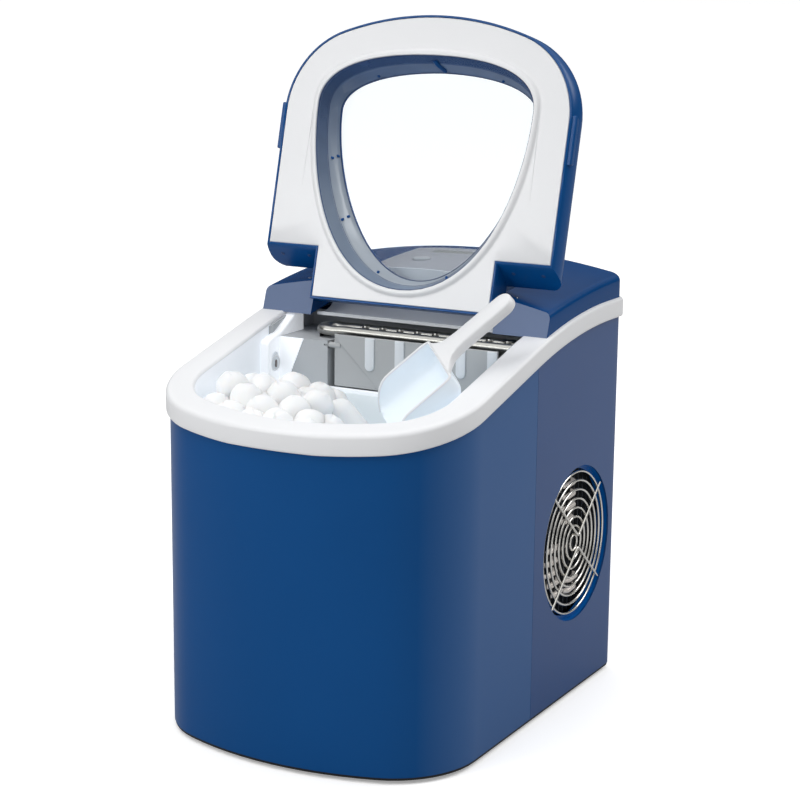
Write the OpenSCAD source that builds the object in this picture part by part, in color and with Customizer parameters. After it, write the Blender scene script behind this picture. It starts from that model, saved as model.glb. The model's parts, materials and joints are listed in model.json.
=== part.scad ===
// Countertop bullet-ice maker with a lifting basket and a rear-hinged window lid.
// X runs to the right, Y to the rear and Z up; the origin is on the table, under the middle.

/* [Cabinet] */
// Width across the painted panels
body_w = 242; // [236:1:270]
// Depth from the bowed front to the rear panel
body_d = 317; // [312:1:345]
// Height of the trim's lower edge at the front
front_h = 230.3; // [222:0.1:250]
// Radius of the bowed front
front_r = 230.5; // [200:0.5:400]
// Radius of the two front corners
corner_r = 66.2; // [45:0.1:75]
// Radius of the two rear corners
rear_r = 8; // [4:0.5:14]
// Thickness of the painted panels
panel_t = 1.5; // [1:0.1:2.4]
// Depth of the side panels, from the rear to their seam with the front wrap
side_d = 150.7; // [140:0.1:165]
// Open seam between two panels
seam = 0.3; // [0.1:0.1:1]

/* [Base] */
// Height of the rubber feet under the base pan
foot_h = 3; // [2:0.5:8]
// Radius of a rubber foot
foot_r = 9; // [6:0.5:14]
// Thickness of the base pan
pan_t = 2; // [1.5:0.1:4]
// Height of the rim that stands inside the panels
pan_rim_h = 12; // [6:1:20]

/* [Trim] */
// Height of the white band
trim_h = 14; // [11:0.5:18]
// How far the band stands out from the panels
trim_proud = 3; // [1:0.25:5]
// Slope of the top, front to back
slope = 14.5; // [12:0.5:16]
// Distance from the rear to the end of the straight slope
slope_back = 155; // [145:1:165]
// Length of the level part at the rear
flat_run = 29; // [20:1:40]
// Thickness of the white deck
deck_t = 3; // [2:0.25:4]
// Depth of the skirt that reaches inside the panels
skirt_h = 7; // [4:0.5:12]

/* [Basin] */
// White margin beside the basin
rim_side = 20; // [16:0.5:26]
// White margin in front of the basin
rim_front = 16; // [12:0.5:22]
// Distance of the basin's rear edge in front of the cover's front faces
basin_back = 19.5; // [19:0.5:22]
// Radius of the basin's bowed front
basin_front_r = 200; // [170:1:350]
// Radius of the basin's front corners
basin_corner_r = 45; // [30:0.5:55]
// Wall thickness of the liner
liner_t = 2; // [1.5:0.1:3]
// Height of the water reservoir's floor
reservoir_z = 95; // [88:1:105]
// Height of the ledge that carries the basket
ledge_z = 140; // [130:1:150]
// Width of that ledge
ledge_w = 6; // [4:0.5:9]
// Depth of the ice chamber behind the basin
chamber_d = 58; // [54:0.5:62]
// Height of the ice chamber's floor
chamber_z = 225; // [215:1:230]
// Thickness of the foam round the liner
foam_t = 4; // [2:0.5:5]

/* [Lid] */
// How far the closed lid reaches past the front panel
lid_over = 1.16; // [0:0.01:2.5]
// Thickness of the lid at its sides
lid_side_t = 23; // [20:0.5:24]
// Thickness of the lid in the middle
lid_mid_t = 25.5; // [24.5:0.5:28]
// Radius of the lid's rounded outer edge
lid_edge_r = 12; // [8:0.5:15]
// How far the lid's sides bulge out
lid_bulge = 2.4; // [1:0.1:3]
// Wall thickness of the blue lid shell
lid_wall = 1.8; // [1.6:0.1:3]
// Length of the tongue between the shoulders
tongue_len = 38.8; // [36:0.1:42]
// Half of the tongue's width
tongue_hw = 76.9; // [70:0.1:82]
// How far the lid's rear faces lean back over their height
lean = 14.3; // [10:0.1:16]
// Opening angle of the lid, in degrees
lid_open = 118.9; // [90:0.1:120]
// Gap between the closed lid and what it meets
lid_gap = 0.6; // [0.4:0.1:1.5]
// Thickness of the white inner panel
inner_t = 1.8; // [1.2:0.1:2.4]
// Height of the lip round the window
lip_h = 2; // [1:0.25:3]

/* [Lid window] */
// Distance of the window's top from the lid's front edge
window_margin = 30.3; // [26:0.1:40]
// Distance of the window's bottom from the tongue's edge
window_bottom = 12.4; // [10:0.1:20]
// Half of the window's greatest width
window_hw = 90.9; // [80:0.1:95]
// Distance of the window's widest place from the lid's front edge
window_wide = 69.8; // [64:0.1:80]
// How far the clear walls draw in towards the outer face
well_draw = 11; // [6:0.5:14]
// Thickness of the clear window
clear_t = 1.6; // [1:0.1:2.4]

/* [Hinge] */
// Distance of the pins from the tongue's edge
hinge_b = 15.8; // [14:0.1:18]
// Distance of the pins above the inner face
hinge_n = 17.5; // [16:0.1:18]
// Distance of the pins behind the shoulders' feet
hinge_back = 17.9; // [16:0.1:20]
// Radius of a hinge pin
pin_r = 1.6; // [1.2:0.1:1.8]
// Running clearance round pins and shafts
run = 0.05; // [0.02:0.01:0.1]

/* [Cover] */
// Distance of the cover's front faces from the rear panel
cover_d = 139; // [134:0.5:142]
// Height of the crown above the level part of the trim's lower edge
crown_h = 42.8; // [40:0.1:48]
// Radius of the crown from side to side
crown_r = 580; // [450:5:900]
// Radius of the crown from front to back
crown_len_r = 861; // [700:5:1500]
// Radius of the cover's side fillet
cover_fillet = 5; // [3:0.5:8]
// Wall thickness of the cover
cover_t = 2.5; // [2:0.1:3.5]
// Half of the control panel's width
panel_hw = 52; // [46:0.5:58]
// Length of the control panel, back from its front edge
panel_d = 82; // [70:1:86]
// Radius of a button
button_r = 7; // [5:0.25:9]
// Distance between the two buttons' centres
button_pitch = 44; // [30:1:60]
// Travel of a button
button_travel = 1.2; // [0.6:0.1:2]

/* [Fan] */
// Distance of the fan's centre from the rear panel
fan_back = 74.2; // [70:0.1:82]
// Height of the fan's centre
fan_z = 121.7; // [110:0.1:130]
// Radius of the fan hole
fan_r = 60; // [50:0.5:62]
// Number of fan blades
blades = 7; // [5:1:9]
// Depth of the collar inside the hole
collar_d = 10; // [7:0.5:12]
// Radius of the guard's wire
wire_r = 0.9; // [0.6:0.1:1.2]
// Distance between the guard's rings
ring_pitch = 7; // [5:0.1:9]
// Radius of the fan motor
motor_r = 17; // [13:0.5:20]

/* [Ice making] */
// Height of the evaporator tube
evaporator_z = 280.5; // [278:0.5:281]
// Radius of the evaporator tube
tube_r = 4; // [3:0.25:4.5]
// Distance between the two runs of the tube
tube_pitch = 16.5; // [14:0.5:18]
// Number of freezing fingers
fingers = 9; // [6:1:10]
// Distance between two fingers
finger_pitch = 15; // [12:0.25:15.5]
// Length of a finger below the tube's centre
finger_len = 35; // [28:0.5:36]
// Depth of the trough below its pivot
trough_r = 19; // [16:0.5:20]
// Wall thickness of the water tray
tray_t = 2; // [1.4:0.1:2.4]
// Thickness of the ice shovel's plate
shovel_t = 2.5; // [2:0.1:3]
// Length of the shovel's plate below its pivot
shovel_len = 31; // [26:0.5:31.5]

/* [Basket] */
// Gap between the basket and the liner
basket_gap = 3; // [2:0.25:4.5]
// Height of the basket
basket_h = 98; // [85:0.5:99]
// Wall thickness of the basket
basket_t = 2; // [1.5:0.1:3]
// Width of a drain slot
slot_w = 4; // [3:0.25:6]

/* [Scoop] */
// Width of the scoop's bowl
scoop_w = 62; // [54:0.5:64]
// Length of the scoop's bowl
scoop_len = 62; // [50:0.5:64]
// Depth of the scoop's bowl
scoop_depth = 22; // [16:0.5:23]
// Length of the scoop's handle
handle_len = 65; // [55:0.5:66]
// Width of the scoop's handle
handle_w = 18; // [14:0.5:20]
// Thickness of the scoop's handle
handle_t = 8; // [5:0.5:9]
// Wall thickness of the scoop
scoop_t = 1.8; // [1.4:0.1:2.4]

/* [Compressor] */
// Radius of the compressor's housing
comp_r = 46; // [40:0.5:50]
// Height of the compressor's housing
comp_h = 118; // [100:1:125]

/* [Hidden] */

// Overall positions
hw = body_w / 2;
y_front = -body_d / 2;
y_rear = body_d / 2;
seam_y = y_rear - side_d;
pan_top = foot_h + pan_t;
far = 400;
cut = 1;
fit = 0.3;

// Rise of the trim's lower edge
arc_y0 = y_rear - slope_back;
arc_y1 = y_rear - flat_run;
arc_r = (arc_y1 - arc_y0) / sin(slope);
edge_top = front_h + (arc_y0 - y_front) * tan(slope) + arc_r * (1 - cos(slope));
arc_steps = 10;

function edge_z(y) =
    y < arc_y0 ? front_h + (y - y_front) * tan(slope)
    : y < arc_y1 ? edge_top - arc_r + sqrt(arc_r * arc_r - pow(arc_y1 - y, 2))
    : edge_top;

function edge_line(rise) = concat(
    [[y_front - 30, edge_z(y_front - 30) + rise]],
    [for (i = [0:arc_steps])
        let (y = arc_y0 + (arc_y1 - arc_y0) * i / arc_steps) [y, edge_z(y) + rise]],
    [[y_rear + 30, edge_top + rise]]
);

// Plan outlines: a bowed front, two front corners and two rear corners
function arc(cx, cy, r, from, to, steps) =
    [for (i = [1:steps]) let (a = from + (to - from) * i / steps) [cx + r * cos(a), cy + r * sin(a)]];

function outline(half, front, rear, bow, corner, back) =
    let (
        cx = half - corner,
        cy = front + bow - sqrt(pow(bow - corner, 2) - cx * cx),
        turn = atan2(cy - front - bow, cx)
    ) concat(
        [[-half, cy]],
        arc(-cx, cy, corner, -180, -180 - turn, 10),
        arc(0, front + bow, bow, -180 - turn, turn, 12),
        arc(cx, cy, corner, turn, 0, 10),
        [[half, rear - back]],
        arc(half - back, rear - back, back, 0, 90, 4),
        [[back - half, rear]],
        arc(back - half, rear - back, back, 90, 180, 4)
    );

function body_outline(inset) = outline(
    hw - inset, y_front + inset, y_rear - inset,
    front_r - inset, corner_r - inset, max(rear_r - inset, 0.8)
);

basin_hw = hw - rim_side;
basin_front = y_front + rim_front;
cover_front = y_rear - cover_d;
basin_rear = cover_front - basin_back;
function basin_outline(inset, rear) = outline(
    basin_hw - inset, basin_front + inset, rear - inset,
    basin_front_r - inset, basin_corner_r - inset, 4
);

// Height of the deck's top, and of the cover's crown
deck_rise = trim_h;
cover_top = edge_top + crown_h;
function crown_z(x, y) =
    cover_top - pow(y_rear + 6.5 - y, 2) / (2 * crown_len_r) - x * x / (2 * crown_r);

// Hinge axis, the lid's length, and the closed lid's frame: b runs forward from the tongue's edge, n outward
hinge_y = cover_front + hinge_back;
hinge_z = front_h + (hinge_y - y_front) * tan(slope) + deck_rise + lid_gap + hinge_n / cos(slope);
lid_len = hinge_b + (hinge_y - y_front) / cos(slope) + lid_over;
window_top = lid_len - window_margin;
window_wide_at = lid_len - window_wide;
function closed(b, n) = [
    hinge_y - (b - hinge_b) * cos(slope) - (n - hinge_n) * sin(slope),
    hinge_z - (b - hinge_b) * sin(slope) + (n - hinge_n) * cos(slope)
];
lid_crown_r = (hw * hw + pow(lid_mid_t - lid_side_t, 2)) / (2 * (lid_mid_t - lid_side_t));
recess_r = norm([hinge_b, hinge_n]) + lid_gap;
trough_front = 270 + slope - acos((hinge_n + lip_h + lid_gap) / recess_r);
shoulder_in = tongue_hw + lid_gap;
panel_front = hinge_y + recess_r + cover_t + fit;
panel_rear = panel_front + panel_d;
button_y = panel_front + 30;
lens_y = panel_front + 58;

// Basin and ice chamber
chamber_l = -basin_hw / 2;
chamber_r = basin_hw - 2;
chamber_top = hinge_z - recess_r - cover_t;
step_z = evaporator_z - tube_r - 0.5 * tube_r;
shovel_y = basin_rear + 3;
shovel_z = step_z - 3;
tube_y1 = shovel_y + 10.5;
tube_y2 = tube_y1 + tube_pitch;
tray_z = evaporator_z - tube_r - trough_r;
tray_l = chamber_l + 4;
tray_r = chamber_r - 4;
stub_r = 3;
drain_x = -55;
drain_y = basin_front + 45;
drain_r = 6;

// Fan train, from the side panel inwards
fan_y = y_rear - fan_back;
collar_end = hw - collar_d;
condenser_x1 = collar_end - 2;
condenser_x0 = condenser_x1 - 16;
condenser_half = fan_r - 2;
condenser_x = (condenser_x0 + condenser_x1) / 2;
rotor_x1 = condenser_x0 - 12;
rotor_x0 = rotor_x1 - 18;
ring_x0 = rotor_x0 - 6;
rotor_r = fan_r - 6;
hub_r = 15;
shaft_r = 2.5;
motor_len = 26;

comp_x = -hw + comp_r + 12;
comp_y = y_rear - comp_r - 14;
comp_z = pan_top + 9;
comp_ports = [[0, 0], [0, 8 - comp_r]];

module below_edge(rise) {
    rotate([90, 0, 90])
        linear_extrude(2 * far, center = true)
            polygon(concat([[y_front - 30, -far]], edge_line(rise), [[y_rear + 30, -far]]));
}

module tall(points, z0, z1) {
    translate([0, 0, z0])
        linear_extrude(z1 - z0)
            polygon(points);
}

module along_x(x0, x1, r) {
    translate([x0, 0, 0])
        rotate([0, 90, 0])
            cylinder(r = r, h = x1 - x0, $fn = 48);
}

// Straight pipe from one point to the next, with a ball at each bend
module pipe(points, r) {
    for (i = [0:len(points) - 2]) {
        run_v = points[i + 1] - points[i];
        translate(points[i])
            rotate([0, acos(run_v[2] / norm(run_v)), atan2(run_v[1], run_v[0])])
                cylinder(r = r, h = norm(run_v), $fn = 24);
        if (i > 0)
            translate(points[i])
                sphere(r = 1.06 * r, $fn = 24);
    }
}

module mirrored_x() {
    children();
    mirror([1, 0, 0])
        children();
}

// ---------------------------------------------------------------- cabinet

foot_spots = [
    [hw - 30, y_front + 52], [30 - hw, y_front + 52], [hw - 26, y_rear - 24], [26 - hw, y_rear - 24]
];

module base_pan() {
    color("#1d1f22")
        difference() {
            union() {
                tall(body_outline(0.6), foot_h, pan_top);
                difference() {
                    tall(body_outline(panel_t + fit), pan_top - 0.01, pan_top + pan_rim_h);
                    tall(body_outline(panel_t + fit + pan_t), pan_top, pan_top + pan_rim_h + cut);
                }
            }
            for (p = foot_spots)
                translate([p[0], p[1], foot_h - cut])
                    cylinder(r = foot_r / 3 + 0.1, h = pan_t + 2 * cut, $fn = 24);
            translate([drain_x, drain_y, foot_h - cut])
                cylinder(r = drain_r + 4, h = pan_t + 2 * cut, $fn = 48);
            for (i = [-3:3])
                translate([i * 14 - 2.5, y_front + 95, foot_h - cut])
                    cube([5, 46, pan_t + 2 * cut]);
        }
}

module rubber_feet() {
    color("#141414")
        for (p = foot_spots)
            translate([p[0], p[1], 0])
                union() {
                    cylinder(r1 = foot_r - 1, r2 = foot_r, h = foot_h, $fn = 48);
                    cylinder(r = foot_r / 3, h = pan_top + 3, $fn = 24);
                    translate([0, 0, pan_top])
                        cylinder(r1 = foot_r / 2, r2 = foot_r / 3, h = 3, $fn = 24);
                }
}

module panel_ring(top_rise) {
    intersection() {
        difference() {
            tall(body_outline(0), pan_top, far);
            tall(body_outline(panel_t), pan_top - cut, far + cut);
        }
        below_edge(top_rise);
    }
}

module front_wrap() {
    color("#184577")
        intersection() {
            panel_ring(0);
            translate([-far, -far, 0])
                cube([2 * far, far + seam_y - seam / 2, far]);
        }
}

rear_split = hw - rear_r - 6;

module side_band() {
    intersection() {
        panel_ring(0);
        translate([rear_split, seam_y + seam / 2, 0])
            cube([far, far, far]);
    }
}

module right_panel() {
    color("#1c467b")
        union() {
            difference() {
                side_band();
                translate([0, fan_y, fan_z])
                    along_x(collar_end, hw + cut, fan_r);
            }
            translate([0, fan_y, fan_z])
                difference() {
                    along_x(collar_end, hw - panel_t / 2, fan_r + 1.5);
                    along_x(collar_end - cut, hw + cut, fan_r);
                }
            translate([0, fan_y, fan_z])
                difference() {
                    along_x(hw - 7, hw - 5.5, fan_r + 0.5);
                    along_x(hw - 7 - cut, hw - 5.5 + cut, fan_r - 3);
                }
        }
}

louvre_n = 9;
louvre_pitch = 9;
module left_panel() {
    color("#1c467b")
        difference() {
            mirror([1, 0, 0])
                side_band();
            for (i = [0:louvre_n - 1])
                translate([-hw - cut, fan_y - 42, fan_z - 36 + i * louvre_pitch])
                    cube([panel_t + 2 * cut, 84, 4]);
        }
}

gland_x = 30 - hw;
gland_z = 36;
screw_xs = [-(rear_split - 8), rear_split - 8];
screw_zs = [26, edge_top - 14];
module rear_panel() {
    color("#1c467b")
        difference() {
            intersection() {
                panel_ring(0);
                translate([seam - rear_split, 0, 0])
                    cube([2 * (rear_split - seam), far, far]);
            }
            for (side = [-1, 1], i = [0:louvre_n])
                translate([side * 42 - 28, y_rear - panel_t - cut, 150 + i * louvre_pitch])
                    cube([56, panel_t + 2 * cut, 4]);
            translate([gland_x, y_rear + cut, gland_z])
                rotate([90, 0, 0])
                    cylinder(r = 6.1, h = panel_t + 2 * cut, $fn = 48);
            for (x = screw_xs, z = screw_zs)
                translate([x, y_rear + cut, z])
                    rotate([90, 0, 0])
                        cylinder(r = 1.6, h = panel_t + 2 * cut, $fn = 24);
        }
}

module cable_gland() {
    color("#16171a")
        translate([gland_x, y_rear, gland_z])
            rotate([-90, 0, 0])
                difference() {
                    union() {
                        translate([0, 0, -panel_t - 3])
                            cylinder(r = 8.5, h = 3, $fn = 48);
                        translate([0, 0, -panel_t])
                            cylinder(r = 6, h = panel_t, $fn = 48);
                        cylinder(r1 = 8.5, r2 = 7.5, h = 2.5, $fn = 48);
                    }
                    translate([0, 0, -panel_t - 3 - cut])
                        cylinder(r = 3.6, h = panel_t + 6 + 2 * cut, $fn = 48);
                }
}

module panel_screws() {
    color("#b9bcc0")
        for (x = screw_xs, z = screw_zs)
            translate([x, y_rear, z])
                rotate([-90, 0, 0])
                    difference() {
                        union() {
                            cylinder(r1 = 3.4, r2 = 2.4, h = 1.8, $fn = 32);
                            translate([0, 0, -8])
                                cylinder(r = 1.5, h = 8, $fn = 24);
                        }
                        for (a = [0, 90])
                            rotate([0, 0, a])
                                translate([-2, -0.4, 1])
                                    cube([4, 0.8, 2]);
                    }
}

// The white band with its sloping deck round the basin
module top_trim() {
    band_w = 5;
    color("#f2f3f5")
        difference() {
            intersection() {
                union() {
                    difference() {
                        union() {
                            intersection() {
                                tall(body_outline(-trim_proud), 0, far);
                                below_edge(trim_h - 2.4);
                            }
                            intersection() {
                                tall(body_outline(0.8 - trim_proud), 0, far);
                                below_edge(trim_h - 0.8);
                            }
                            intersection() {
                                tall(body_outline(2.2 - trim_proud), 0, far);
                                below_edge(trim_h);
                            }
                        }
                        tall(body_outline(band_w), -cut, far + cut);
                    }
                    difference() {
                        intersection() {
                            tall(body_outline(band_w - 0.5), 0, far);
                            below_edge(trim_h);
                            translate([-far, -far, 0])
                                cube([2 * far, far + cover_front + 4, far]);
                        }
                        below_edge(trim_h - deck_t);
                    }
                }
                tall(body_outline(-trim_proud - cut), 0, far);
            }
            below_edge(-skirt_h);
            difference() {
                below_edge(0);
                tall(body_outline(panel_t + fit), -cut, far);
            }
            tall(basin_outline(0, y_rear), 0, far);
        }
}

// ---------------------------------------------------------------- rear cover

cover_steps = 5;
function cover_section(y, half) =
    let (
        f = cover_fillet,
        inner = half - f,
        top = crown_z(inner, y) - f,
        right = [for (a = [0:22.5:90]) [inner + f * cos(a), top + f * sin(a)]],
        crown = [for (i = [3:-1:-3]) [inner * i / 4, crown_z(inner * i / 4, y)]],
        left = [for (a = [90:22.5:180]) [-inner + f * cos(a), top + f * sin(a)]],
        foot = front_h
    ) concat([[half, foot]], right, crown, left, [[-half, foot]]);

// Convex crowned block; an inset makes the form of the hollow inside it
module cover_form(inset) {
    y0 = cover_front - 4;
    y1 = y_rear - rear_r;
    translate([0, 0, -inset])
        hull() {
            for (i = [0:cover_steps])
                translate([0, y0 + (y1 - y0) * i / cover_steps, 0])
                    rotate([90, 0, 0])
                        linear_extrude(0.01)
                            polygon(cover_section(y0 + (y1 - y0) * i / cover_steps, hw - inset));
            for (a = [30, 60, 90])
                translate([0, y1 + rear_r * sin(a) - inset, 0])
                    rotate([90, 0, 0])
                        linear_extrude(0.01)
                            polygon(cover_section(
                                y1 + rear_r * sin(a) - inset,
                                hw - inset - rear_r * (1 - cos(a))
                            ));
        }
}

// Everything in front of the shoulders' leaning faces
module before_shoulders(gap) {
    foot = closed(tongue_len, 0);
    head = closed(tongue_len - lean, 22);
    lean_v = head - foot;
    rotate([90, 0, 90])
        linear_extrude(2 * far, center = true)
            polygon([
                foot + [gap, 0] - 2 * lean_v, foot + [gap, 0] + 4 * lean_v,
                [y_front - far, hinge_z + far], [y_front - far, -far]
            ]);
}

module control_cut(grow) {
    translate([-panel_hw - grow, panel_front - grow, 0])
        cube([2 * (panel_hw + grow), panel_d + 2 * grow, far]);
}

module top_cover() {
    boss_r = pin_r + 3;
    gap_y = panel_front - fit;
    color("#0f4276")
        difference() {
            union() {
                difference() {
                    cover_form(0);
                    difference() {
                        cover_form(cover_t);
                        before_shoulders(lid_gap + cover_t);
                        translate([-shoulder_in - cover_t, -far, -cut])
                            cube([2 * (shoulder_in + cover_t), far + gap_y + cover_t, far]);
                    }
                }
                intersection() {
                    cover_form(0);
                    translate([0, hinge_y, hinge_z])
                        mirrored_x()
                            along_x(shoulder_in, shoulder_in + 14, boss_r);
                }
            }
            before_shoulders(lid_gap);
            below_edge(trim_h);
            translate([-shoulder_in, -far, 0])
                cube([2 * shoulder_in, far + gap_y, far]);
            translate([0, hinge_y, hinge_z])
                along_x(-shoulder_in - 12, shoulder_in + 12, pin_r);
            control_cut(fit);
            translate([-panel_hw - fit, gap_y - cut, 0])
                cube([2 * (panel_hw + fit), 2 * cut + cover_t, far]);
        }
}

module hinge_pins() {
    color("#c9ccd0")
        translate([0, hinge_y, hinge_z])
            mirrored_x()
                along_x(tongue_hw - 10, shoulder_in + 12, pin_r);
}

// White trough that closes the ice chamber under the lid's tongue
module evaporator_cover() {
    r0 = recess_r;
    half = shoulder_in - fit;
    color("#e9ecef")
        union() {
            translate([0, hinge_y, hinge_z])
                intersection() {
                    difference() {
                        along_x(-half, half, r0 + cover_t);
                        along_x(-far, far, r0);
                    }
                    rotate([90, 0, 90])
                        linear_extrude(2 * far, center = true)
                            polygon(concat([[0, 0]], [for (i = [0:6])
                                let (a = trough_front + (360 - trough_front) * i / 6)
                                    60 * [cos(a), sin(a)]]));
                }
            intersection() {
                translate([-half, hinge_y + r0, hinge_z - 1])
                    cube([2 * half, cover_t, 60]);
                translate([0, y_rear, crown_z(0, panel_front) - crown_r])
                    rotate([90, 0, 0])
                        cylinder(r = crown_r, h = body_d, $fn = 180);
            }
        }
}

module control_panel() {
    color("#8f949c")
        difference() {
            intersection() {
                cover_form(0);
                control_cut(0);
            }
            cover_form(cover_t);
            for (side = [-1, 1])
                translate([side * button_pitch / 2, button_y, 0])
                    cylinder(r = button_r + 0.2, h = far, $fn = 48);
            translate([-30, lens_y, 0])
                cube([60, 12, far]);
            for (i = [0:3])
                translate([i * 12 - 18, lens_y - 10, 0])
                    cylinder(r = 1.8, h = far, $fn = 24);
        }
}

module display_lens() {
    color("#6d7480")
        difference() {
            intersection() {
                cover_form(0);
                translate([-29.9, lens_y + 0.1, 0])
                    cube([59.8, 11.8, far]);
            }
            cover_form(cover_t);
        }
}

module indicator_lenses() {
    color("#b7d4c0")
        difference() {
            intersection() {
                cover_form(0);
                for (i = [0:3])
                    translate([i * 12 - 18, lens_y - 10, 0])
                        cylinder(r = 1.8, h = far, $fn = 24);
            }
            cover_form(cover_t + 1);
        }
}

board_z = crown_z(0, button_y) - 16;
module push_button(side) {
    x = side * button_pitch / 2;
    top = crown_z(x, button_y) + 1.6;
    translate([x, button_y, 0])
        rotate_extrude($fn = 48)
            polygon([
                [0, board_z + 3 + button_travel + 0.3], [2, board_z + 3 + button_travel + 0.3],
                [2, top - 7.2], [button_r + 1, top - 7.2], [button_r + 1, top - 5.2],
                [button_r, top - 5.2], [button_r, top - 0.8], [button_r - 0.8, top], [0, top]
            ]);
}

module power_button() {
    color("#c3c7cd")
        push_button(-1);
}

module select_button() {
    color("#c3c7cd")
        push_button(1);
}

module control_board() {
    half = panel_hw - 8;
    color("#1f5a3a")
        union() {
            translate([-half, panel_front + 10, board_z - 1.6])
                cube([2 * half, panel_d - 22, 1.6]);
            for (side = [-1, 1])
                translate([side * button_pitch / 2 - 3, button_y - 3, board_z - 0.01])
                    cube([6, 6, 3.01]);
            for (x = [5 - half, half - 5], y = [panel_front + 15, panel_rear - 17])
                translate([x, y, board_z - 0.01])
                    cylinder(r = 2.5, h = crown_z(half, y) - cover_t - fit - board_z, $fn = 24);
        }
}

// ---------------------------------------------------------------- lid

// Places the lid's own frame: X across, Y forward from the tongue's edge, Z outward
module on_lid() {
    translate([0, hinge_y, hinge_z])
        rotate([slope - lid_open, 0, 0])
            rotate([0, 0, 180])
                translate([0, -hinge_b, -hinge_n])
                    children();
}

function lid_outline(inset) = outline(
    hw - inset, -lid_len + inset, -tongue_len / 3 - inset,
    front_r - inset, corner_r - inset, 1
);

module lid_plan(inset, h) {
    linear_extrude(h)
        mirror([0, 1])
            polygon(lid_outline(inset));
}

// Side view of the lid's main part, whose rear face leans
module lid_profile(inset) {
    steep = 60;
    rotate([90, 0, 90])
        linear_extrude(2 * far, center = true)
            polygon([
                [tongue_len + inset, -cut], [tongue_len + inset - lean * steep / 22, steep],
                [lid_len + far, steep], [lid_len + far, -cut]
            ]);
}

module lid_crown(inset) {
    translate([0, -far, lid_mid_t - lid_crown_r])
        rotate([-90, 0, 0])
            cylinder(r = lid_crown_r - inset, h = 2 * far, $fn = 180);
}

// Plan block whose sides bulge a little and whose outer edge is rounded
module lid_block(inset) {
    hull() {
        lid_plan(inset, 0.01);
        for (a = [0:18:90])
            translate([0, 0, lid_mid_t - inset - lid_edge_r * (1 - sin(a))])
                scale([1 + lid_bulge / hw, 1, 1])
                    lid_plan(inset + lid_edge_r * (1 - cos(a)), 0.01);
    }
}

module lid_form(inset) {
    intersection() {
        lid_crown(inset);
        union() {
            intersection() {
                lid_block(inset);
                lid_profile(inset);
            }
            translate([inset - tongue_hw, inset, 0])
                cube([2 * (tongue_hw - inset), 2 * tongue_len, 60]);
        }
    }
}

function bezier(p, t) =
    pow(1 - t, 3) * p[0] + 3 * t * pow(1 - t, 2) * p[1] + 3 * t * t * (1 - t) * p[2] + pow(t, 3) * p[3];

// Rounded three-cornered window, drawn in by an even margin
function window_outline(inset) =
    let (
        mid = (window_top + window_bottom) / 2,
        sx = (window_hw - inset) / window_hw,
        sy = 1 - 2 * inset / (window_top - window_bottom),
        top = [
            [0, window_top], [0.584 * window_hw, window_top],
            [window_hw, window_wide_at + 28], [window_hw, window_wide_at]
        ],
        low = [
            [window_hw, window_wide_at], [window_hw, window_wide_at - 60],
            [0.708 * window_hw, window_bottom], [0, window_bottom]
        ],
        half = concat(
            [for (i = [0:9]) bezier(top, i / 10)],
            [for (i = [0:14]) bezier(low, i / 14)]
        ),
        other = [for (i = [len(half) - 2:-1:1]) [-half[i][0], half[i][1]]]
    ) [for (p = concat(half, other)) [p[0] * sx, mid + (p[1] - mid) * sy]];

module window_prism(inset, z0, z1) {
    translate([0, 0, z0])
        linear_extrude(z1 - z0)
            polygon(window_outline(inset));
}

// Drawn-in well from the inner face to the window pane
module window_well(grow, z0, z1) {
    hull() {
        window_prism(-grow, z0, z0 + 0.01);
        window_prism(well_draw - grow, z1 - 0.01, z1);
    }
}

module tab_block(x) {
    translate([x, lid_len - 106, 1])
        rotate([0, 90, 0])
            linear_extrude(4)
                polygon([[-5, 0], [0, 0], [0, 36], [-5, 34]]);
}

module lid_shell() {
    color("#1b4c84")
        on_lid()
            difference() {
                union() {
                    difference() {
                        lid_form(0);
                        translate([0, 0, -0.01])
                            lid_form(lid_wall);
                    }
                    intersection() {
                        lid_form(0);
                        translate([0, hinge_b, hinge_n])
                            mirrored_x()
                                along_x(tongue_hw - 12, tongue_hw, pin_r + 2.4);
                    }
                    mirrored_x()
                        tab_block(hw - 0.4);
                }
                window_prism(well_draw + 1, -cut, 60);
                translate([0, hinge_b, hinge_n])
                    along_x(-far, far, pin_r + run);
            }
}

module lid_inner_panel() {
    e = lid_wall + 0.25;
    color("#f0f0f2")
        on_lid()
            difference() {
                union() {
                    intersection() {
                        union() {
                            intersection() {
                                lid_plan(e, inner_t);
                                translate([-far, tongue_len + e, -cut])
                                    cube([2 * far, far, 60]);
                            }
                            translate([e - tongue_hw, e, 0])
                                cube([2 * (tongue_hw - e), 2 * tongue_len, inner_t]);
                        }
                        translate([-far, 0, 0])
                            cube([2 * far, far, inner_t]);
                    }
                    window_prism(-4, -lip_h, 0.01);
                }
                window_prism(0, -lip_h - cut, inner_t + cut);
            }
}

module lid_window() {
    color("#dfe8ee", 0.45)
        on_lid()
            union() {
                difference() {
                    intersection() {
                        window_well(-fit, inner_t / 2, lid_mid_t);
                        lid_crown(lid_wall + run);
                    }
                    intersection() {
                        window_well(-fit - clear_t, -cut, lid_mid_t + 1);
                        lid_crown(lid_wall + clear_t);
                    }
                }
                difference() {
                    window_prism(-6, inner_t, inner_t + clear_t);
                    window_prism(2, 0, inner_t + 2 * clear_t);
                }
            }
}

peg_spots = [0.04, 0.17, 0.3, 0.36, 0.62, 0.68, 0.79, 0.92];
module window_pegs() {
    ring = window_outline(-3.6);
    color("#1b4c84")
        on_lid()
            for (s = peg_spots) {
                p = ring[floor(s * len(ring))];
                translate([p[0], p[1], inner_t + clear_t])
                    cylinder(r1 = 2.4, r2 = 1.8, h = 3, $fn = 20);
            }
}

// ---------------------------------------------------------------- liner and basket

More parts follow.
